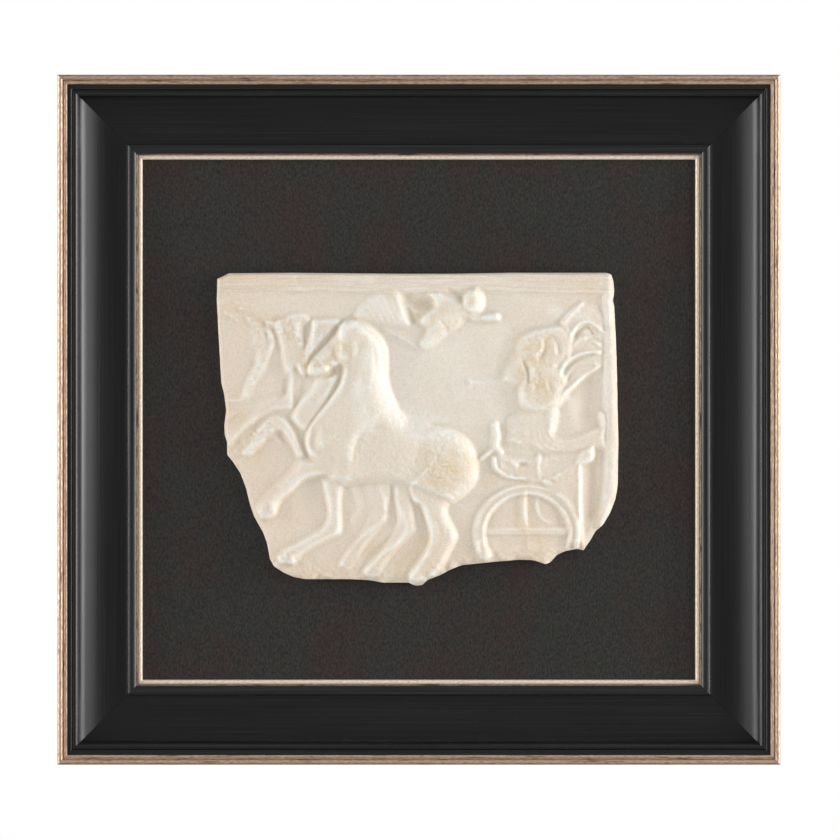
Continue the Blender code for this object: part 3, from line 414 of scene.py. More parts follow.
# %% [markdown]
# ## The carving
# A carver copies a drawing onto the stone through a net of squares, and so does this lesson: the figures
# are drawn on a squared sheet, 404 squares to the width of the slab, and a square's real size follows from
# the solid stone.

# %% The squared sheet
relief_low, relief_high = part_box("relief")
SLAB_SQUARES, SLAB_LEFT, SLAB_TOP, SLAB_BOTTOM = 404.0, 15.5, 12.0, 326.5
SQUARE = (relief_high[0] - relief_low[0]) / (SLAB_SQUARES - 0.5)
EDGE_ROUNDING = 0.004
print(f"one square is {SQUARE * 1000:.3f} mm")

# %% [markdown]
# ### The carver's tools
# A low relief has one height over each point of the face, so it is carved here as a height field: 0 is the
# ground that was cut back and 1 the highest figure. Five tools are enough. ridge lays a form along a line
# and lets it fall steeply on one side and slowly on the other, which is how a carver sets one body in front
# of the next. limb is a ridge with two equal sides, mass fills an outline, swell raises or hollows what is
# there, and grain roughens it.

# %% Lines on the sheet


def curve(points, per_leg=5):
    """A smooth curve through rows of numbers."""
    p = np.array(points, float)
    ends = np.vstack([2 * p[0] - p[1], p, 2 * p[-1] - p[-2]])
    t = np.linspace(0, 1, per_leg, endpoint=False)[:, None]
    legs = []
    for a, b, c, d in zip(ends, ends[1:], ends[2:], ends[3:]):
        bend = (2 * a - 5 * b + 4 * c - d) * t**2 + (3 * b - a - 3 * c + d) * t**3
        legs.append(0.5 * (2 * b + (c - a) * t + bend))
    return np.vstack(legs + [p[-1:]])


def along_line(points, count):
    """count points, evenly spaced on the line through points, with its corners a little worn."""
    p = np.array(points, float)
    run = np.concatenate([[0], np.cumsum(np.hypot(*np.diff(p, axis=0).T))])
    at = np.linspace(0, run[-1], count)
    line = np.column_stack([np.interp(at, run, p[:, 0]), np.interp(at, run, p[:, 1])])
    for _ in range(2):
        line[1:-1] = (line[:-2] + 2 * line[1:-1] + line[2:]) / 4
    return line


def nearest(x, y, path):
    """Least distance over reach to a path of rows: x, y, reach on the right, reach on the left, height."""
    share, high = np.full(x.shape, 1e9), np.zeros(x.shape)
    for a, b in zip(path, path[1:]):
        dx, dy = b[0] - a[0], b[1] - a[1]
        t = np.clip(((x - a[0]) * dx + (y - a[1]) * dy) / max(dx * dx + dy * dy, 1e-9), 0, 1)
        off_x, off_y = x - a[0] - dx * t, y - a[1] - dy * t
        away = np.hypot(off_x, off_y)
        on_right = 0.5 + 0.5 * (dx * off_y - dy * off_x) / (math.hypot(dx, dy) * away + 1e-9)
        wide = (a[2] + (b[2] - a[2]) * t) * on_right + (a[3] + (b[3] - a[3]) * t) * (1 - on_right)
        closer = away / wide < share
        share = np.where(closer, away / wide, share)
        high = np.where(closer, a[4] + (b[4] - a[4]) * t, high)
    return share, high


def bow(start, middle, stop, wide, thin):
    """Rows along the bend through three points, whose reach goes from wide to thin."""
    rows = []
    for i in range(7):
        t = i / 6
        first, last = (1 - t) * (1 - 2 * t), t * (2 * t - 1)
        x, y = (first * a + 4 * t * (1 - t) * b + last * c for a, b, c in zip(start, middle, stop))
        rows.append((x, y, wide + (thin - wide) * t))
    return rows


def lattice(x, y, size, seed):
    """Smooth random heights from -1 to 1 whose bumps are about size squares across."""
    u, v = x / size, y / size
    iu, iv = np.floor(u).astype(int), np.floor(v).astype(int)
    fu, fv = u - iu, v - iv
    fu, fv = fu * fu * (3 - 2 * fu), fv * fv * (3 - 2 * fv)

    def corner(i, j):
        mixed = np.sin(i * 127.1 + j * 311.7 + seed * 74.7) * 43758.5453
        return 2 * (mixed - np.floor(mixed)) - 1

    upper = corner(iu, iv) * (1 - fu) + corner(iu + 1, iv) * fu
    lower = corner(iu, iv + 1) * (1 - fu) + corner(iu + 1, iv + 1) * fu
    return upper * (1 - fv) + lower * fv


# %% [markdown]
# The tools all work alike. Each one finds the points that its line reaches, measures how far out each point
# is, and sets a height there. Where two forms meet, the higher one stays and the corner between is rounded.

# %% The tools
NARROWEST = 0.5


class Carving:
    """Heights over the points of the sheet, and the tools that change them."""

    def __init__(self, x, y):
        self.x, self.y, self.z = x, y, np.zeros_like(x)

    def measure(self, rows):
        """The points that the rows reach, how far out each one is, and the height there."""
        path = curve(rows)
        path[:, 2:4] = np.maximum(path[:, 2:4], NARROWEST)
        reach = path[:, 2:4].max()
        low, high = path[:, :2].min(0) - reach, path[:, :2].max(0) + reach
        across, down = (self.x > low[0]) & (self.x < high[0]), (self.y > low[1]) & (self.y < high[1])
        which = np.flatnonzero(across & down)
        return which, *nearest(self.x[which], self.y[which], path)

    def join(self, which, new, where, soft):
        """Sets new heights where they are above the old ones, and rounds the joint over that softness."""
        old = self.z[which]
        mix = np.clip(0.5 + 0.5 * (new - old) / soft, 0, 1)
        both = old * (1 - mix) + new * mix + soft * mix * (1 - mix)
        self.z[which] = np.where(where, np.maximum(both, old), old)

    def ridge(self, points, height, flat=2.0, wall=0.0, soft=0.05):
        """A form along rows of x, y, right-hand reach, left-hand reach and perhaps share of height."""
        rows = [(x, y, a, b, height * (more[0] if more else 1)) for x, y, a, b, *more in points]
        which, share, high = self.measure(rows)
        crown = (1 - np.clip(share, 0, 1) ** flat) ** 1.3
        new = high * (wall * np.clip((1 - share) * 5, 0, 1) + (1 - wall) * crown)
        self.join(which, new, share < 1, soft)

    def limb(self, points, height, flat=2.0, wall=0.1, soft=0.05):
        """A ridge with equal sides, along rows of x, y, radius and perhaps share of height."""
        self.ridge([(x, y, r, r, *more) for x, y, r, *more in points], height, flat, wall, soft)

    def swell(self, points, amount):
        """Raises what is there softly along rows of x, y, radius, or hollows it where amount is below 0."""
        which, share, high = self.measure([(x, y, r, r, amount) for x, y, r in points])
        self.z[which] += high * (1 - np.clip(share, 0, 1) ** 2) ** 2

    def mass(self, outline, height, edge, wall=0.1, soft=0.05):
        """A filled shape with a rounded edge, whose width is edge or each corner's own third number."""
        rows = [(x, y, *(own or [edge]) * 2, 0) for x, y, *own in [*outline, outline[0]]]
        which, share, _ = self.measure(rows)
        x, y = self.x[which], self.y[which]
        inside = np.zeros(x.shape, bool)
        path = curve(rows)
        for a, b in zip(path, path[1:]):
            if a[1] != b[1]:
                inside ^= ((a[1] > y) != (b[1] > y)) & (x < a[0] + (y - a[1]) * (b[0] - a[0]) / (b[1] - a[1]))
        depth = np.clip(share, 0, 1)
        crown = (1 - (1 - depth) ** 2) ** 1.3
        self.join(which, height * (wall * np.clip(depth * 5, 0, 1) + (1 - wall) * crown), inside, soft)

    def grain(self, points, size, amount, seed):
        """Roughens what lies along rows of x, y, radius, with bumps of that size."""
        which, share, _ = self.measure([(x, y, r, r, 0) for x, y, r in points])
        x, y = self.x[which], self.y[which]
        bumps = lattice(x, y, size, seed) + lattice(x, y, size / 2, seed + 9) / 2
        self.z[which] += amount * bumps * (1 - np.clip(share, 0, 1) ** 2)


# %% [markdown]
# ### The broken slab
# The top was sawn nearly straight and the other sides are broken. Each side is a run of corners, and the
# sheet's grid is stretched between the four of them, so that its outermost points are the outline itself.

# %% The outline
TOP_EDGE = [(16, 18), (21, 16), (28, 12.5), (90, 12), (200, 13), (250, 13), (310, 12), (407, 12),
            (412, 14)]
RIGHT_EDGE = [(412, 14), (414, 20), (415, 30), (413.5, 40), (415, 46), (417, 90), (418, 130), (419, 180),
              (418.5, 225), (416, 240), (411, 253), (404, 265), (396, 272), (391, 281), (384, 291)]
LEFT_EDGE = [(16, 18), (15.5, 40), (17, 70), (19, 105), (20, 122), (23, 135), (25, 150), (23, 165),
             (23.5, 175), (26, 182), (26, 195), (31, 201), (39, 213), (45, 229), (49, 245), (53, 257),
             (62, 273), (66, 284), (69, 300)]
BOTTOM_EDGE = [(69, 300), (73, 307), (82, 313), (93, 318), (105, 320), (150, 320), (168, 321),
               (183, 323.5), (208, 323.5), (215, 326.5), (222, 326), (227, 321), (240, 316), (251, 310),
               (262, 306), (290, 303), (320, 300.5), (334, 301), (346, 305), (351, 303), (357, 296),
               (365, 292), (377, 289.5), (384, 291)]
SIDES = ((TOP_EDGE, 3.5), (RIGHT_EDGE, 9.0), (BOTTOM_EDGE, 13.0), (LEFT_EDGE, 5.0))


def sheet_grid(spacing):
    """Rows of points that fill the outline: a grid stretched between its four edges."""
    columns = int(SLAB_SQUARES / spacing)
    rows = int((SLAB_BOTTOM - SLAB_TOP) / spacing)
    top, bottom = along_line(TOP_EDGE, columns), along_line(BOTTOM_EDGE, columns)
    left, right = along_line(LEFT_EDGE, rows), along_line(RIGHT_EDGE, rows)
    u = np.linspace(0, 1, columns)[None, :, None]
    v = np.linspace(0, 1, rows)[:, None, None]
    between = (1 - v) * top[None] + v * bottom[None] + (1 - u) * left[:, None] + u * right[:, None]
    corners = (1 - v) * ((1 - u) * top[0] + u * top[-1]) + v * ((1 - u) * bottom[0] + u * bottom[-1])
    return between - corners


def worn_edge(x, y):
    """How far the face falls back towards the outline, from 1 at the edge to 0. Broken sides are rounder."""
    fall = np.zeros(x.shape)
    for side, reach in SIDES:
        path = [(px, py, reach, reach, 0) for px, py in along_line(side, 160)]
        share = np.clip(nearest(x, y, path)[0] + 0.02 * reach * lattice(x, y, 7, 3) * (reach > 4), 0, 1)
        fall = np.maximum(fall, 1 - np.sqrt(1 - (1 - share) ** 2))
    return fall


# %% [markdown]
# ### The border
# A flat band was left standing along the top, and a rounded one down the right side. The ground beside them
# was cut back a little further, which throws the darkest shades of the whole relief.

# %% The border


def carve_border(c):
    """The raised band along the top, the upright one on the right, and the hollows cut beside them."""
    c.mass([(5, 2), (430, 2), (430, 33), (300, 33), (200, 33), (75, 33), (62, 30), (30, 28),
            (5, 28)], 0.15, 5)
    c.ridge([(412, 0, 10, 16), (412, 60, 10, 15), (413, 190, 10, 16), (412, 230, 10, 16),
             (400, 290, 10, 16)], 0.3, flat=2.2)
    c.swell([(388, 112, 12), (386, 135, 20), (386, 158, 16)], -0.12)
    c.swell([(390, 206, 9), (390, 232, 9), (389, 256, 8)], -0.15)
    c.swell([(96, 18, 2.5), (98, 22, 3), (104, 25, 2.5)], -0.084)
    c.swell([(324, 14, 1.6), (325, 27, 1.6)], 0.042)
    c.swell([(18, 36, 2), (40, 39, 2.5), (52, 38, 2), (64, 35, 1.5)], -0.098)
    c.swell([(24, 31, 2), (44, 33, 2), (60, 31, 1.5)], 0.042)


# %% [markdown]
# ### Four horses abreast
# The team is shown the way classical carvers showed depth: the nearest horse is whole and highest, and each
# one behind it is a step further left and lower. Of those only faces, necks and legs are seen, each one a
# low plateau with a narrow bright slope along its left side.

# %% The horses behind


def carve_far_horses(c):
    """The three horses behind, each lower in relief and a step further left."""
    # The farthest: its mane and neck run down to the broken edge
    c.mass([(16, 50, 10), (34, 48, 8), (52, 58), (72, 70), (74, 84), (68, 98), (60, 114), (52, 130),
            (44, 142), (24, 142), (24, 139), (38, 136), (45, 126), (50, 115), (57, 104), (60, 97),
            (57, 91), (49, 84, 5), (46, 74, 8), (40, 68, 12), (28, 60, 14)], 0.13, 3.5)
    c.swell([(33, 50, 4), (41, 57, 6), (48, 64, 4)], -0.1)
    c.ridge([(58, 90, 3, 9), (57, 104, 3, 10), (50, 116, 3, 10), (43, 134, 3, 8)], 0.19, soft=0.03)
    c.swell([(71, 84, 2.5), (66, 98, 3), (60, 112, 3), (52, 125, 2.5)], 0.07)
    # The third: forehead to muzzle, then its chest down to the bent foreleg
    c.mass([(60, 60), (78, 58), (88, 53, 6), (103, 52, 6), (110, 60), (103, 70), (104, 90), (99, 104),
            (94, 112), (92, 124), (92, 134), (92, 150), (74, 152), (58, 158), (57, 155), (63, 150),
            (74, 142), (86, 134), (89, 126), (90, 116), (86, 110), (83, 98), (81, 86), (77, 74),
            (70, 66)], 0.21, 4)
    c.swell([(78, 60, 2.5), (79, 75, 3), (82, 86, 3), (83, 98, 3), (87, 112, 2.5)], 0.112)
    c.swell([(91, 115, 2.5), (91, 125, 3), (87, 134, 3), (75, 142, 3), (62, 151, 2.5)], 0.084)
    c.swell([(88, 56, 3), (97, 53, 4), (104, 54, 3)], 0.09)
    # The second: face, muzzle, and the neck that shows between it and the near horse
    c.mass([(112, 58), (135, 57), (140, 62), (130, 74), (118, 86), (109, 98), (108, 112), (103, 117),
            (96, 108), (96, 103), (103, 91), (109, 80), (111, 70)], 0.33, 4)
    c.swell([(113, 60, 2), (112, 72, 2.6), (109, 82, 2.6), (103, 92, 2.6), (97, 103, 2.8)], 0.112)
    c.swell([(97, 105, 2), (100, 112, 2.4), (104, 117, 2)], 0.098)
    c.mass([(118, 112), (124, 116), (138, 114), (132, 130), (122, 148), (112, 162), (104, 172), (92, 160),
            (94, 150), (103, 137), (112, 127)], 0.29, 4)
    c.swell([(117, 117, 2), (112, 128, 2.5), (103, 139, 2.8), (95, 150, 2.8)], 0.098)
    # The dark pockets between the heads and the necks
    for x0, y0, x1, y1, r in ((103, 63, 101, 78, 6), (135, 66, 126, 82, 4), (123, 84, 114, 92, 3),
                              (74, 108, 82, 126, 13), (86, 120, 84, 132, 5), (108, 116, 116, 117, 4),
                              (126, 124, 112, 140, 6), (64, 66, 66, 82, 5), (103, 118, 101, 130, 7)):
        c.swell([(x0, y0, r), (x1, y1, r * 0.9)], -0.1)
    # Worn forelocks and ears make one ragged row along the tops of the heads
    for i in range(9):
        x = 54 + 9.5 * i + 3 * math.sin(2.1 * i)
        c.swell([(x, 60, 2), (x + 3 * math.sin(2.3 * i), 67, 2.4),
                 (x + 4 * math.sin(1.7 * i), 78, 2)], 0.045)


def carve_raised_forelegs(c):
    """The far horses' forelegs, bent at the knee and worn rough, at the broken left side."""
    c.ridge([(27, 158, 2.5, 12), (36, 153, 2.5, 10), (46, 151, 2.5, 8), (56, 152, 2.5, 8)], 0.09)
    c.swell([(34, 164, 9), (44, 161, 9), (50, 158, 5)], -0.08)
    c.ridge([(26, 187, 3, 9), (34, 177, 2.5, 12), (44, 167, 2.5, 13), (56, 156, 2.5, 13),
             (64, 148, 2.5, 12), (74, 143, 2.5, 10)], 0.2, flat=3)
    # The bent leg: forearm, knee and cannon, then the inner edge of the same leg
    c.mass([(52, 178), (62, 162), (74, 156), (84, 158), (93, 170), (100, 184), (104, 196), (97, 199),
            (90, 184), (84, 176), (78, 172), (66, 180), (56, 190), (48, 198), (40, 192)], 0.22, 4)
    c.swell([(62, 164, 2), (71, 157, 2.4), (80, 158, 2.4), (88, 168, 2.4), (96, 185, 2.2),
             (100, 195, 2)], 0.084)
    c.swell([(84, 170, 1.6), (92, 184, 1.8), (98, 197, 1.6)], 0.07)
    c.swell([(51, 194, 2), (56, 186, 2.4), (64, 179, 2.2)], 0.098)
    c.swell([(79, 175, 4.5), (84, 181, 4)], -0.13)
    c.swell([(58, 204, 9), (68, 196, 11), (78, 190, 8)], -0.09)
    for i in range(7):
        x = 62 - 4.6 * i
        c.swell([(x + 5, 162 + 4 * i, 1.5), (x, 167 + 4 * i, 1.8), (x - 5, 174 + 4 * i, 1.5)], 0.05)
    c.swell([(60, 176, 1.5), (70, 168, 1.8), (78, 166, 1.5)], 0.056)


def shank(c, knee, foot, wide, height):
    """A lower leg that runs forward from the knee or hock to the hoof, where it widens a little."""
    (kx, ky), (fx, fy) = knee, foot
    rows = [(kx + (fx - kx) * t, ky + (fy - ky) * t, wide * share, high)
            for t, share, high in ((0, 1.15, 1), (0.3, 0.85, 0.95), (0.7, 0.75, 0.9), (1, 1.0, 0.8))]
    c.limb(rows, height, flat=3.5, wall=0.15)


def carve_far_legs(c):
    """Three pairs of hind legs behind the near horse's, the last hardly raised."""
    c.limb([(150, 226, 5), (157, 246, 5), (150, 262, 4)], 0.07)
    c.limb([(168, 226, 7), (176, 250, 7)], 0.1, flat=3)
    c.limb([(182, 224, 9), (181, 242, 8), (178, 256, 7.5)], 0.17, flat=3.5)
    shank(c, (178, 258), (146, 304), 8.5, 0.17)
    c.limb([(203, 224, 10), (204, 244, 9), (206, 262, 9)], 0.24, flat=3.5)
    shank(c, (206, 268), (172, 312), 9.0, 0.24)
    c.swell([(180, 228, 1.8), (184, 246, 2), (184, 258, 2), (170, 270, 2), (152, 286, 2),
             (140, 306, 2)], 0.084)
    c.swell([(172, 276, 1.8), (160, 290, 2), (157, 304, 1.8)], 0.056)
    c.swell([(197, 228, 1.8), (197, 242, 2), (203, 258, 2), (205, 270, 2), (196, 284, 2), (180, 296, 2),
             (165, 314, 1.8)], 0.098)
    for x0, y0, x1, y1, r in ((198, 272, 172, 292, 5), (168, 296, 160, 312, 5), (221, 246, 226, 268, 6),
                              (220, 282, 196, 306, 7), (190, 316, 204, 316, 6)):
        c.swell([(x0, y0, r), (x1, y1, r)], -0.08)


# %% [markdown]
# The near horse carries most of the height. Its body is a plateau whose edges slope down over widths that
# change along the outline: hardly any at the breast, and broad down the crest and round the rump, where the
# light catches.

# %% The near horse


def carve_near_horse(c):
    """The foremost horse: legs, body, arched neck with its mane, and head."""
    # Hind leg: thigh, hock and shank in one outline
    c.mass([(204, 222, 8), (212, 242, 4), (220, 247, 4), (225, 260, 4), (229, 275, 4), (226, 288, 5),
            (217, 302, 5), (208, 316, 5), (212, 326, 5), (232, 320, 6), (243, 309, 7), (251, 294, 8),
            (258, 280, 8), (257, 271, 9), (250, 258, 9), (248, 249, 9), (256, 240, 9), (270, 228, 9),
            (240, 200, 10)], 0.4, 5)
    c.swell([(236, 262, 3), (240, 273, 4), (237, 287, 4), (226, 302, 3)], -0.05)
    # Standing foreleg
    c.mass([(120, 218, 6), (123, 230, 4), (126, 245, 4), (127, 257, 4), (121, 267, 4), (108, 275, 4),
            (95, 282, 4), (84, 288, 4), (76, 297, 4), (78, 305, 4), (92, 306, 4), (101, 297, 4),
            (112, 290, 4), (128, 282, 5), (139, 276, 5), (142, 268, 6), (141, 250, 6), (143, 230, 6),
            (152, 216, 8)], 0.3, 4)
    c.swell([(132, 234, 4), (134, 250, 4), (134, 262, 4)], -0.05)
    c.swell([(91, 297, 2.5), (92, 305, 3)], 0.112)
    # Raised foreleg, whose upper side is a broad bright slope
    c.mass([(146, 190, 8), (110, 198, 8), (98, 198, 10), (86, 212, 12), (72, 226, 12), (58, 240, 11),
            (54, 252, 8), (62, 262, 5), (74, 256, 4), (80, 242, 4), (92, 232, 4), (104, 222, 5),
            (122, 218, 6), (140, 222, 8)], 0.42, 6)
    c.swell([(71, 243, 3.5), (72, 252, 3.5)], 0.1)
    c.swell([(80, 226, 4), (94, 213, 4)], 0.04)
    c.swell([(110, 226, 15), (106, 240, 16), (112, 256, 12)], -0.1)
    # Barrel and rump
    c.mass([(146, 150, 20), (198, 158, 16), (206, 163, 14), (222, 165, 12), (240, 165, 11), (255, 169, 13),
            (268, 178, 16), (276, 190, 20), (280, 205, 22), (279, 220, 22), (270, 233, 20), (258, 242, 15),
            (246, 244, 9), (214, 232, 9), (200, 228, 14), (180, 226, 16), (160, 226, 15), (140, 228, 12),
            (124, 212, 14)], 0.62, 8)
    c.swell([(186, 190, 26), (206, 196, 22)], 0.05)
    c.swell([(244, 196, 24), (242, 212, 22)], 0.07)
    c.swell([(223, 184, 10), (220, 198, 12), (213, 212, 11)], -0.07)
    c.swell([(232, 198, 2.4), (230, 205, 3), (222, 215, 3.2), (213, 224, 3), (211, 231, 2.6)], 0.08)
    # Neck, breast and shoulder: a low wall at the throat, a rise towards the crest and a broad fall beyond
    front = [(142, 112), (138, 125), (130, 137), (122, 147), (111, 161), (106, 172), (104, 183), (108, 196),
             (122, 206), (143, 228)]
    behind = [(152, 216, 11), (158, 200, 13), (163, 184, 14), (172, 175, 15), (184, 174, 20), (198, 180, 28),
              (211, 176, 30), (206, 158, 28), (198, 145, 26), (191, 130, 25), (188, 115, 23), (188, 92, 21),
              (183, 78, 17), (172, 66, 13), (160, 60, 9), (150, 58, 7), (140, 64, 5), (136, 80, 8)]
    c.mass([*((x, y, 4) for x, y in front), *behind], 0.44, 5, soft=0.08)
    c.mass([*((x, y, 34) for x, y in front), *behind], 0.92, 5, soft=0.12)
    c.swell([(160, 84, 5), (161, 100, 6), (157, 118, 7), (152, 134, 7)], -0.06)
    c.swell([(172, 166, 4), (163, 178, 5), (157, 190, 5), (153, 204, 5), (146, 218, 4)], 0.05)
    c.swell([(180, 158, 10), (170, 168, 10)], 0.04)
    c.swell([(122, 166, 3), (121, 182, 3.6), (127, 198, 3.6), (134, 206, 3)], 0.06)
    c.swell([(114, 168, 6), (112, 186, 7)], -0.05)
    c.swell([(139, 128, 1.8), (128, 144, 2.2), (118, 158, 2.2)], 0.042)
    # Head, with the cheek's disc and the muzzle
    c.mass([(154, 64, 10), (144, 64, 12), (136, 69, 13), (126, 81, 13), (116, 91, 11), (109, 99, 7),
            (105, 108, 4), (108, 116, 4), (118, 118, 5), (127, 115, 5), (133, 109, 5), (139, 107, 5),
            (148, 105, 5), (154, 99, 5), (156, 90, 5), (156, 78, 6)], 0.54, 4, wall=0, soft=0.1)
    c.limb([(145, 86, 10), (145, 93, 11)], 0.76, flat=4, wall=0.1, soft=0.08)
    c.swell([(154.5, 82, 2.2), (155, 92, 2.6), (151, 101, 2.8), (142, 105, 2.4)], 0.098)
    c.limb([(124, 107, 7), (118, 109, 6)], 0.62, flat=3, soft=0.08)
    c.swell([(134, 86, 2.2), (134, 96, 2.6), (139, 104, 2.2)], -0.084)
    c.swell([(121, 103, 2), (126, 111, 2.4)], 0.084)
    c.swell([(129, 105, 2), (132, 112, 2.2)], -0.098)
    c.swell([(110, 101, 1.8), (111, 112, 2)], 0.084)
    c.swell([(133, 80, 1.8), (140, 79, 1.8)], 0.07)
    c.swell([(128, 87, 1.8), (138, 85, 1.8)], -0.07)
    for i in range(4):
        c.swell([(140 + 4 * i, 62, 1.6), (137 + 4 * i, 69, 1.8), (132 + 5 * i, 77, 1.5)], 0.04)
    # Mane: a band along the crest between two fine edges
    c.swell([(150, 61, 2), (160, 62, 2.2), (171, 69, 2.4), (181, 80, 2.4), (185.5, 94, 2.4),
             (185.5, 116, 2.4), (189, 132, 2.4), (196, 147, 2)], 0.084)
    c.swell([(156, 72, 2.2), (165, 72, 2.4), (173, 78, 2.4), (179, 90, 2.4), (180, 108, 2.4),
             (182, 126, 2)], 0.084)
    c.swell([(164, 68, 2), (177, 80, 2.2), (182.5, 96, 2.2), (183, 118, 2)], -0.07)
    for i in range(4):
        x = 160 + 5 * i
        c.swell([(x - 5, 74, 1.4), (x + 1, 88, 1.6), (x + 2, 106, 1.6), (x, 128, 1.4)], 0.042)


# %% [markdown]
# ### The flying figure and the driver
# Over the horses a small winged figure reaches out to the right. The driver leans back behind them in a
# long dress, with one arm out to the reins and a cloak that the wind lifts in ribs. Both faces are worn
# away, and stay plain.

# %% The flying figure


def carve_flying_figure(c):
    """A small winged figure under the top band, reaching right."""
    c.swell([(207, 38, 7), (218, 42, 10), (228, 43, 9)], -0.2)
    c.swell([(208, 50, 5), (213, 60, 5)], -0.14)
    c.swell([(136, 36, 10), (150, 37, 9)], -0.07)
    # Wing: long feathers parted by shallow cuts, and a right edge that falls steeply
    c.mass([(150, 62, 8), (157, 47, 7), (166, 37, 6), (176, 30, 6), (188, 27, 5), (198, 30, 5),
            (203, 43, 5), (207, 56, 5), (210, 65, 5), (198, 68, 10), (176, 64, 10)], 0.26, 8)
    for i in range(5):
        for shift, amount in ((0, -0.05), (2.5, 0.035)):
            x = 184 - 5 * i + shift
            c.swell([(x, 36 + 3 * i, 1.5), (x + 6, 47 + 2 * i, 1.8), (x + 13 - i, 60, 1.5)], amount)
    # Drapery trails to the left
    c.swell([(184, 69, 2.5), (196, 75, 3), (208, 81, 3.4), (220, 89, 3)], 0.08)
    c.swell([(188, 80, 4), (204, 88, 5), (218, 94, 4)], -0.04)
    # Body: a plateau with a broad slope along its lower right side
    c.mass([(226, 34, 4), (236, 30, 5), (248, 32, 8), (260, 36, 10), (268, 44, 9), (270, 56, 7),
            (264, 63, 12), (254, 72, 14), (242, 81, 14), (230, 89, 12), (221, 90, 8), (219, 82, 7),
            (226, 71, 8), (219, 62, 5), (225, 52, 4), (234, 46, 4), (232, 38, 4)], 0.36, 8)
    c.swell([(240, 60, 1.8), (245, 66, 2.2), (247, 75, 1.8)], -0.07)
    c.swell([(226, 74, 2.2), (234, 67, 2.6), (239, 62, 2)], 0.06)
    c.swell([(251, 68, 3), (257, 65, 3.4), (263, 62, 2.4)], 0.05)
    c.swell([(249, 29, 3), (255, 32, 3)], -0.13)
    c.swell([(228, 31, 1.8), (236, 30, 2.2), (241, 36, 1.8)], 0.07)
    # Arm, hand and head
    c.limb([(264, 52, 6), (276, 57, 5.5), (286, 57, 5)], 0.24, flat=3)
    c.limb([(285, 57.5, 4.4), (290, 57, 4.8), (296, 56.5, 4.4)], 0.4, flat=3)
    c.mass([(264, 34, 3), (270, 27, 5), (278, 25, 9), (284.5, 33, 13), (285.5, 44, 13), (281, 53, 10),
            (272, 55, 6), (265, 50, 3), (262, 42, 3)], 0.5, 5, soft=0.12)
    c.swell([(260, 43, 1.6), (267, 49, 2.2), (272, 52, 2)], 0.06)


# %% [markdown]
# The driver is built up from three rounded blocks, for the veiled head, the trunk and the skirt. The cloak's
# ribs are bends through three points, each with a cut under it, because a rib shows by the shade beside it.

# %% The driver
CLOAK_RIBS = (((361, 67), (369, 56), (383, 42), 3.4, 0.16), ((371, 75), (386, 61), (405, 74), 2.4, 0.17),
              ((374, 85), (386, 78), (400, 85), 2.4, 0.14), ((361, 114), (373, 97), (400, 92), 2.6, 0.2),
              ((363, 124), (375, 109), (396, 104), 2.2, 0.17),
              ((364, 134), (379, 121), (400, 106), 3.0, 0.18))
CLOAK_CUTS = (((375, 76), (385, 67), (393, 73), 3.0), ((388, 79), (396, 79), (401, 81), 1.6),
              ((363, 112), (374, 101), (394, 94), 2.6), ((367, 119), (377, 108), (394, 105), 2.0))


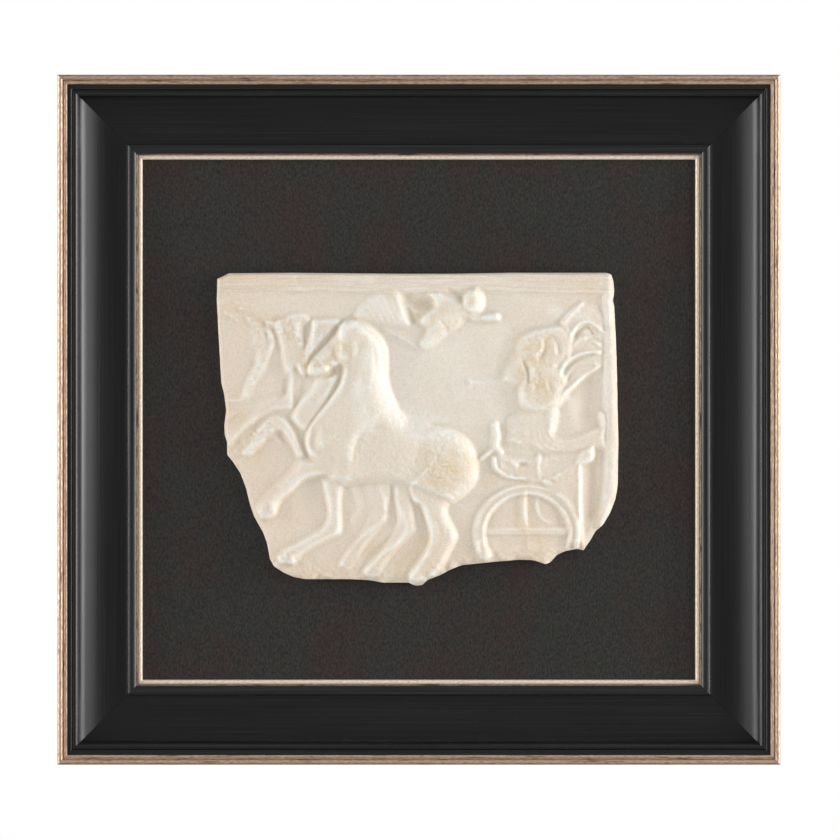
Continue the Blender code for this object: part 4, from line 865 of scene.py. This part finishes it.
def carve_charioteer(c):
    """A draped driver, leaning back, with one arm stretched out to the reins."""
    c.swell([(300, 142, 18), (310, 156, 14)], -0.14)
    c.swell([(306, 80, 9), (303, 94, 11), (298, 108, 8)], -0.07)
    c.swell([(372, 134, 8), (384, 128, 15), (386, 150, 15)], -0.12)
    c.limb([(312, 122, 9), (300, 122, 7), (286, 122, 5), (272, 122, 4)], 0.1)
    c.swell([(264, 118, 2), (270, 121, 2), (269, 127, 2), (262, 126, 2)], 0.098)
    # Cloak: ribs that bend away from the shoulder, each with a deep cut under it
    c.mass([(362, 62, 4), (368, 52, 4), (380, 42, 5), (394, 44, 8), (407, 60, 8), (406, 84, 8),
            (402, 106, 8), (388, 114, 5), (374, 128, 4), (362, 138, 4), (358, 110, 4)], 0.16, 5)
    for start, middle, stop, wide, high in CLOAK_RIBS:
        c.swell(bow(start, middle, stop, wide, wide * 0.8), high)
    for start, middle, stop, wide in CLOAK_CUTS:
        c.swell(bow(start, middle, stop, wide, wide * 0.7), -0.2)
    # Veil, hair and the worn face: one rounded block
    c.mass([(321, 74, 7), (330, 69, 6), (344, 66, 6), (358, 64, 6), (368, 69, 6), (372, 80, 6),
            (371, 94, 7), (364, 104, 8), (352, 118, 10), (340, 128, 12), (322, 130, 10), (302, 122, 6),
            (305, 112, 6), (312, 100, 7), (317, 88, 7)], 0.34, 7, soft=0.08)
    c.swell([(320, 76, 1.8), (317, 89, 2.2), (311, 101, 2.4), (304, 113, 2.4), (299, 120, 2)], 0.06)
    c.swell([(338, 77, 1.8), (343, 84, 2.4), (341, 91, 2.6), (335, 95, 2)], 0.11)
    c.swell([(344.5, 82, 2.2), (344, 91, 3), (340, 98, 2.4)], -0.13)
    c.swell(bow((346, 78), (356, 79), (359, 92), 2.2, 2.6), -0.12)
    c.swell([(366, 68, 2), (370, 74, 3), (370.5, 84, 3.2), (368, 97, 2.8)], 0.12)
    c.swell([(354, 88, 3), (355, 95, 3)], 0.06)
    c.swell([(330, 72, 1.6), (346, 69, 2), (360, 68, 1.8)], 0.05)
    # Trunk: a drilled groove at the left and a broad bright fall at the right
    c.mass([(318, 112, 8), (332, 102, 8), (350, 104, 8), (362, 110, 8), (368, 122, 13), (367, 136, 14),
            (360, 148, 12), (346, 154, 8), (330, 154, 8), (319, 142, 7)], 0.42, 8, soft=0.1)
    c.swell([(324, 102, 2.2), (328, 111, 3), (328.5, 122, 2.6)], -0.2)
    c.swell([(332, 106, 1.8), (332, 118, 2.2), (331, 134, 1.8)], 0.06)
    c.swell([(352, 106, 2), (359, 109, 2.8), (363, 120, 2.6)], 0.09)
    c.swell([(368, 97, 2.6), (362, 105, 2.8), (360, 112, 2.4)], 0.09)
    c.swell([(345, 120, 1.6), (348, 131, 1.8)], 0.07)
    c.swell([(349, 124, 2), (351, 130, 1.8)], -0.1)
    c.swell([(325, 144, 1.6), (327, 152, 1.8), (330, 157, 1.6)], -0.05)
    # Skirt, whose back edge is bright, and the curled folds at its hem
    c.mass([(308, 158, 10), (322, 150, 8), (346, 148, 6), (358, 148, 8), (358, 162, 8), (356, 174, 8),
            (372, 176, 6), (400, 166, 6), (404, 180, 5), (400, 190, 6), (360, 194, 6), (330, 190, 8),
            (306, 184, 10)], 0.2, 8)
    c.mass([(344, 148, 6), (352, 144, 8), (359, 148, 10), (359, 162, 11), (355, 174, 10), (347, 174, 6),
            (345, 162, 6)], 0.34, 6, soft=0.1)
    for i in range(4):
        r = 8 + 5 * i
        c.swell(bow((356 - r, 170), (358 - 0.7 * r, 172 + 0.75 * r),
                (360 + 0.3 * r, 174 + r), 1.8, 1.6), 0.085)
    for i in range(3):
        c.swell([(368, 182 + 5 * i, 1.6), (378, 179 + 4 * i, 2), (390, 173 + 4 * i, 2),
                 (402, 167 + 5 * i, 1.6)], 0.06)
    c.ridge([(402, 154, 4, 3), (404, 166, 4, 3), (402, 176, 4, 3), (404, 186, 4, 3)], 0.27)


# %% [markdown]
# ### The chariot
# A light two-wheeled car: a curved front rail, a bowed floor, and a rail at the back with a square end. The
# wheel is struck with a compass: a rim, a hub and four spokes, of which the break has taken the lowest
# part.

# %% The chariot


HUB_X, HUB_Y, WHEEL = 327.0, 274.0, 48.0
WHEEL_END = 390


def wheel_arc(radius, first, reach):
    """Points on a ring round the hub, from an angle in degrees to where the wheel is broken off."""
    turns = np.radians(np.arange(first, WHEEL_END, 12))
    return [(HUB_X + radius * math.cos(a), HUB_Y + 0.92 * radius * math.sin(a), reach) for a in turns]


def carve_chariot(c):
    """The car with its rails, and the spoked wheel, broken off below."""
    c.mass([(296, 190, 5), (312, 196, 6), (340, 196, 6), (372, 192, 6), (392, 188, 5), (382, 206, 5),
            (366, 216, 5), (342, 226, 5), (316, 220, 4), (298, 210, 4)], 0.18, 5)
    c.ridge([(296, 164, 6, 2.5), (298, 176, 8, 2.5), (297, 186, 8, 2.5), (301, 192, 4, 2.5)], 0.25)
    c.ridge([(280, 199, 2.4, 2.4), (288, 193, 2.6, 2.6), (297, 187, 2.4, 2.4)], 0.22)
    c.ridge([(294, 198, 2.2, 2.2), (295, 207, 2.4, 2.6), (302, 214, 2.4, 2.6), (312, 218, 2.2, 2.4),
             (324, 219, 2, 2)], 0.34)
    c.swell([(304, 203, 5), (310, 208, 4)], -0.06)
    c.swell([(312, 201, 1.4), (315, 207, 1.6), (317, 213, 1.4)], 0.084)
    c.swell([(320, 205, 3.4), (326, 205, 3.8)], -0.2)
    c.ridge([(339, 197, 2.2, 2.2), (338, 206, 2.2, 2.4), (338.5, 215, 2, 2.2)], 0.34)
    c.swell([(348, 203, 5), (360, 204, 4)], -0.06)
    # Back rail with its square end and a slot beside it, and the brace from there down to the wheel
    c.mass([(374, 204, 3), (380, 192, 3), (392, 185, 3), (395, 190, 3), (394, 200, 3),
            (382, 206, 3)], 0.36, 3)
    c.swell([(395.5, 188, 1.8), (395.5, 200, 1.8)], -0.14)
    c.mass([(338, 220, 3), (350, 216, 4), (365, 208, 4), (378, 202, 4), (382, 208, 4), (382, 262, 4),
            (374, 252, 3), (360, 238, 3), (346, 228, 3)], 0.28, 4)
    c.swell([(344, 222, 2), (356, 216, 2.4), (368, 208, 2.4), (378, 203, 2)], 0.1)
    c.swell([(380, 206, 2), (380, 224, 2.6), (380, 244, 2.6), (382, 270, 2.6), (383, 286, 2.4)], 0.15)
    c.swell([(348, 220, 3), (354, 222, 3)], -0.098)
    # Wheel
    c.limb(wheel_arc(WHEEL, 150, 6.5), 0.24, flat=4, wall=0.2)
    c.swell(wheel_arc(WHEEL + 4.5, 224, 1.8), 0.09)
    c.swell(wheel_arc(WHEEL - 4.5, 166, 1.8), 0.11)
    c.swell(wheel_arc(WHEEL, 190, 2.2), -0.06)
    c.swell(wheel_arc(WHEEL + 4, 306, 4.5), 0.1)
    c.swell([(278, 282, 1.8), (278, 292, 2.2), (280, 300, 2)], 0.14)
    c.limb([(HUB_X - 5, HUB_Y - WHEEL + 6, 4), (HUB_X - 5, HUB_Y - 8, 4)], 0.12, flat=4)
    c.swell([(HUB_X - 2, HUB_Y - WHEEL + 6, 1.7), (HUB_X - 2, HUB_Y - 22, 1.9),
             (HUB_X, HUB_Y - 4, 2)], 0.14)
    c.swell([(HUB_X + 1, HUB_Y + 4, 1.7), (HUB_X + 2, HUB_Y + 16, 1.7)], 0.07)
    c.limb([(HUB_X - WHEEL + 3, HUB_Y - 2, 4.5), (HUB_X + WHEEL - 2, HUB_Y - 2, 4.5)], 0.14, flat=4)
    c.swell([(HUB_X - 26, HUB_Y - 5, 1.4), (HUB_X + 6, HUB_Y - 5, 1.6),
             (HUB_X + WHEEL - 4, HUB_Y - 5, 1.4)], 0.07)
    c.limb([(HUB_X - 1, HUB_Y - 3, 6), (HUB_X, HUB_Y - 2, 6)], 0.14, flat=3)
    c.ridge([(338, 236, 1.8, 1.8), (336.5, 246, 1.8, 1.8), (340, 257, 1.8, 1.8),
             (350, 264, 1.6, 1.6)], 0.13)
    for x0, y0, x1, y1, r in ((285, 262, 290, 256, 6), (356, 248, 360, 262, 8), (300, 284, 320, 284, 8),
                              (340, 284, 366, 282, 8)):
        c.swell([(x0, y0, r), (x1, y1, r)], -0.07)


# %% [markdown]
# The ground between the figures was never quite flat, and weather has left the stone rough, more so along
# the bottom and the broken left side, where the surface has gone. The rump and the belly have a sugary
# skin.

# %% The worn skin
SUGARY = (((238, 188), (236, 216), 26, 2.3, 0.042), ((186, 186), (204, 208), 26, 2.8, 0.028),
          ((140, 150), (144, 196), 26, 3.6, 0.018), ((150, 90), (158, 130), 16, 4.4, 0.014))
WORN = (((24, 50), (92, 70), 16, 3.0, 0.045), ((80, 62), (112, 96), 16, 2.8, 0.032),
        ((60, 78), (48, 132), 14, 3.2, 0.026), ((70, 166), (36, 196), 16, 3.4, 0.050),
        ((338, 84), (334, 128), 20, 3.2, 0.034), ((372, 56), (396, 80), 14, 3.0, 0.020),
        ((112, 104), (124, 110), 10, 3.0, 0.030), ((300, 170), (350, 196), 16, 3.2, 0.028),
        ((404, 40), (406, 240), 14, 4.0, 0.014), ((230, 60), (262, 56), 14, 3.4, 0.022),
        ((300, 210), (370, 220), 14, 3.2, 0.024))
PITTED = (((60, 288), (110, 314), 16, 3.4, 0.040), ((110, 314), (230, 322), 13, 3.4, 0.036),
          ((240, 308), (375, 288), 13, 3.4, 0.030), ((20, 60), (26, 200), 9, 4.4, 0.024),
          ((36, 210), (62, 285), 9, 4.4, 0.026))


def carve_ground(c):
    """The unevenness that a chisel and the weather leave all over, and the rougher places."""
    c.z += 0.008 * lattice(c.x, c.y, 22, 40) + 0.004 * lattice(c.x, c.y, 6, 41)
    for number, (start, stop, reach, size, amount) in enumerate((*SUGARY, *WORN, *PITTED)):
        c.grain([(*start, reach), (*stop, reach)], size, amount, number)


# %% [markdown]
# ## From the drawing to the stone
# The sheet is now filled with points about a millimetre apart, the figures are cut over them, and the face
# is rounded off at the edge. Where the neck runs into the back it is rubbed down by hand, so that one form
# fades into the other. The back is flat where it was sawn, and the sides run from it to the face.

# %% Cut the stone
RELIEF_BACK = -relief_high[1]
SLAB_THICK = 0.014
SLAB_FACE = RELIEF_BACK + SLAB_THICK
CARVING_DEPTH = 0.012
FINE = 1.2

PATINA = [[(195, 35, 14), (225, 50, 22), (252, 56, 18), (270, 40, 12)],
          [(322, 78, 18), (330, 100, 24), (345, 84, 18)], [(325, 112, 22), (345, 130, 20)],
          [(30, 48, 12), (50, 60, 14), (80, 66, 16), (92, 80, 14)],
          [(104, 100, 16), (125, 112, 14), (140, 86, 16)],
          [(228, 196, 18), (240, 218, 24), (262, 200, 16)],
          [(282, 200, 14), (290, 218, 14), (292, 262, 14)],
          [(322, 215, 12), (325, 262, 16), (340, 290, 14)],
          [(165, 290, 20), (205, 300, 22), (225, 285, 16)], [(32, 150, 12), (44, 172, 16), (54, 194, 16)]]
RUST = [[(18, 14, 20), (40, 20, 22), (80, 18, 14)], [(24, 50, 12), (40, 58, 12)],
        [(388, 22, 14), (402, 40, 12)], [(403, 200, 10), (405, 225, 12), (398, 255, 12)],
        [(76, 298, 14), (110, 312, 18), (150, 312, 18)], [(318, 298, 12), (345, 300, 14)],
        [(24, 120, 8), (30, 160, 12), (36, 205, 12)], [(362, 120, 6), (364, 122, 6)]]
# Painted highlight: near-white patches on the slopes and edges that catch the light, along the near horse's
# neck and back, on the wing, the right border, the cloak, the flying figure and the top edge.
PAINTED_HIGHLIGHT_PATCHES = [[(166, 96, 12), (182, 128, 14), (196, 156, 24), (236, 172, 26)],
         [(158, 128, 14), (166, 168, 15)], [(176, 40, 14), (198, 55, 13)],
         [(406, 18, 9), (407, 130, 9), (406, 262, 9)], [(352, 50, 8), (388, 56, 10)],
         [(240, 62, 10), (262, 48, 12)], [(18, 4, 5), (380, 5, 5)]]
grid = sheet_grid(FINE)
rows, columns = grid.shape[:2]
sheet_x, sheet_y = grid[..., 0].ravel(), grid[..., 1].ravel()
stone = Carving(sheet_x, sheet_y)
CARVERS = (carve_border, carve_far_horses, carve_raised_forelegs, carve_far_legs, carve_flying_figure,
           carve_charioteer, carve_chariot, carve_near_horse)
for carve in CARVERS:
    carve(stone)
    print(carve.__name__, "done")


def weathered(heights, passes):
    """Evens out the grid's heights with their neighbours, as rain and handling do."""
    even = heights.reshape(rows, columns).copy()
    for _ in range(passes):
        even[1:-1] = (even[:-2] + 2 * even[1:-1] + even[2:]) / 4
        even[:, 1:-1] = (even[:, :-2] + 2 * even[:, 1:-1] + even[:, 2:]) / 4
    return even.ravel()


stone.z = weathered(stone.z, 2)
WITHERS = [(184, 160, 13), (206, 163, 17), (222, 168, 14)]
SOFTENED = 45
fade = Carving(sheet_x, sheet_y)
fade.swell(WITHERS, 1.0)
share = np.clip(1.3 * fade.z, 0, 1)
stone.z = stone.z * (1 - share) + weathered(stone.z, SOFTENED) * share
carve_ground(stone)
# Heights above the local mean. The marble paints those that stand out paler, a painted highlight, and the
# hollows darker, painted shade.
edge_light_and_hollow_shade = stone.z - weathered(stone.z, 14)
print(f"edges stand out by {edge_light_and_hollow_shade.max():.2f}, hollows lie back by {edge_light_and_hollow_shade.min():.2f} of the depth")
worn = worn_edge(sheet_x, sheet_y)
depth = SLAB_FACE + CARVING_DEPTH * stone.z * (1 - 0.5 * worn) - EDGE_ROUNDING * worn

across = (sheet_x - SLAB_LEFT) * SQUARE + relief_low[0]
upward = relief_high[2] - (sheet_y - SLAB_TOP) * SQUARE
face = np.column_stack([across, -depth, upward])
number = np.arange(rows * columns).reshape(rows, columns)
four = [number[:-1, :-1], number[1:, :-1], number[1:, 1:], number[:-1, 1:]]
quads = np.stack(four, axis=-1).reshape(-1, 4)
rim = np.concatenate([number[0, :-1], number[:-1, -1], number[-1, :0:-1], number[:0:-1, 0]])
SIDE_STEPS = 6
DRAFT = 0.004
centre = face[rim].mean(0)
verts, last = [face], rim
faces = quads.tolist()
for step in range(1, SIDE_STEPS + 1):
    share = step / SIDE_STEPS
    ring = face[rim].copy()
    ring[:, 1] = ring[:, 1] * (1 - share) - RELIEF_BACK * share
    pull = DRAFT * share**2
    ring[:, 0] += (centre[0] - ring[:, 0]) * pull
    ring[:, 2] += (centre[2] - ring[:, 2]) * pull
    new = rows * columns + (step - 1) * len(rim) + np.arange(len(rim))
    faces += np.column_stack([last, np.roll(last, -1), np.roll(new, -1), new]).tolist()
    verts.append(ring)
    last = new
faces.append(last.tolist())
mesh = bpy.data.meshes.new("carved_stone")
mesh.from_pydata(np.vstack(verts).tolist(), [], faces)


def paint(name, values):
    """Keeps one value for each point of the face, which the marble's finish reads. The sides get the mean."""
    kept = mesh.attributes.new(name, "FLOAT", "POINT")
    sides = np.full(len(rim) * SIDE_STEPS, values.mean())
    kept.data.foreach_set("value", np.concatenate([values, sides]).astype(np.float32))


TOOLED_TO = 34
SHELTERED = (230, 110)
SHELTER_REACH = (200, 190)
away_x = (sheet_x - SHELTERED[0]) / SHELTER_REACH[0]
away_y = (sheet_y - SHELTERED[1]) / SHELTER_REACH[1]
patina, rust, painted_highlight = [Carving(sheet_x, sheet_y) for _ in range(3)]
for tint, patches in ((patina, PATINA), (rust, RUST), (painted_highlight, PAINTED_HIGHLIGHT_PATCHES)):
    for patch in patches:
        tint.swell(patch, 1.0)
paint("raised", stone.z)
paint("edges", edge_light_and_hollow_shade)
paint("patina", np.clip(patina.z, 0, 1))
paint("rust", np.clip(rust.z, 0, 1))
# The mask of the painted highlight patches.
paint("painted_highlight", np.clip(painted_highlight.z, 0, 1))
paint("tooled", (sheet_y < TOOLED_TO).astype(float))
paint("exposed", np.clip(away_x**2 + away_y**2, 0, 1))
mesh.shade_smooth()
carved = bpy.data.objects.new("carved_stone", mesh)
bpy.context.collection.objects.link(carved)
print(f"stone of {sum(len(f) - 2 for f in faces)} triangles")

# %% [markdown]
# ## Marble
# The stone is a white marble that has lain in the ground: light goes a few millimetres into it and comes
# out again warmer, which softens every shadow. Its surface is honed and then weathered to a fine sandy
# skin. A tan patina stays on the raised parts that were handled, peach stains run in from the broken edges,
# and the whole outer part has yellowed more than the sheltered middle. Slopes and edges that catch the
# light are painted near white, a painted highlight, and ridges that stand out are painted paler and hollows
# darker, as painted highlight and painted shade. The smooth top band keeps the level marks of the chisel
# that faced it.


# %% Weathered marble
def painted(tree, name):
    """The value that paint kept for each point of the face."""
    return add(tree, "ShaderNodeAttribute", attribute_name=name).outputs["Fac"]


def marble():
    made, tree, shader = finish("white marble, carved and weathered")
    place = add(tree, "ShaderNodeTexCoord").outputs["Object"]
    grit = noise(tree, place, 480, 4, 0.7)
    cloud = noise(tree, place, 28, 5)
    stain = noise(tree, place, 11, 4)
    high = painted(tree, "raised")
    handled = times(tree, spread(tree, high, 0.15, 0.7), spread(tree, cloud, 0.3, 0.65))
    patina = painted(tree, "patina")
    rust = painted(tree, "rust")
    blotch = noise(tree, place, 90, 6, 0.65)
    mottle = spread(tree, blotch, 0.38, 0.62, 0.1, 1.0)
    tan = times(tree, patina, mottle)
    peach = times(tree, rust, mottle)
    base = blend(tree, spread(tree, cloud, 0.35, 0.65), colour("#e7ded1"), colour("#ece4d9"))
    base = blend(tree, spread(tree, handled, 0, 1, 0, 0.35), base, colour("#e6d6b8"))
    base = blend(tree, tan, base, colour("#dfc99f"))
    base = blend(tree, spread(tree, peach, 0, 1, 0, 0.7), base, colour("#ebd0b0"))
    exposed = painted(tree, "exposed")
    base = blend(tree, spread(tree, exposed, 0, 1, 0, 0.6), base, colour("#e2cdb4"))
    # Painted highlight: the lit slopes in those patches are painted near white.
    painted_highlight = painted(tree, "painted_highlight")
    base = blend(tree, spread(tree, painted_highlight, 0, 1, 0, 0.6), base, colour("#f4f0e9"))
    # Painted highlight on the ridges that stand out, and painted shade in the hollows.
    fine = painted(tree, "edges")
    base = blend(tree, spread(tree, fine, 0.012, 0.06, 0, 0.8), base, colour("#f2f3ee"))
    base = blend(tree, spread(tree, fine, -0.012, -0.07, 0, 0.6), base, colour("#d9ccb6"))
    base = blend(tree, spread(tree, stain, 0.58, 0.8, 0, 0.5), base, colour("#e5cdb4"))
    level = add(tree, "ShaderNodeMapping", {"Vector": place, "Scale": (25, 1, 420)}).outputs[0]
    lines = noise(tree, level, 1, 4, 0.6)
    tooled = painted(tree, "tooled")
    raked = times(tree, tooled, spread(tree, lines, 0.44, 0.58))
    base = blend(tree, spread(tree, raked, 0, 1, 0, 0.5), base, colour("#d3c2a8"))
    crystal = noise(tree, place, 1300, 2)
    base = blend(tree, spread(tree, grit, 0.4, 0.7, 0.0, 0.45), base, colour("#cfc3b0"))
    base = blend(tree, spread(tree, crystal, 0.45, 0.7, 0.0, 0.5), base, colour("#f8f5ee"))
    tree.links.new(base, shader.inputs["Base Color"])
    shader.inputs["Roughness"].default_value = 0.55
    shader.inputs["IOR"].default_value = 1.49
    shader.inputs["Subsurface Weight"].default_value = 0.6
    shader.inputs["Subsurface Radius"].default_value = (1.0, 0.75, 0.55)
    shader.inputs["Subsurface Scale"].default_value = 0.003
    chips = noise(tree, place, 170, 3, 0.6)
    chipped = times(tree, chips, spread(tree, high, 0.05, 0.4, 0.2, 1.0))
    knocked = add(tree, "ShaderNodeBump", {"Height": chipped, "Strength": 0.6, "Distance": 0.0020})
    sand = {"Height": grit, "Strength": 0.5, "Distance": 0.0006, "Normal": knocked.outputs[0]}
    bump = add(tree, "ShaderNodeBump", sand)
    tree.links.new(bump.outputs[0], shader.inputs["Normal"])
    return made


carved.data.materials.append(marble())
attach(carved, "root")
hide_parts("relief")
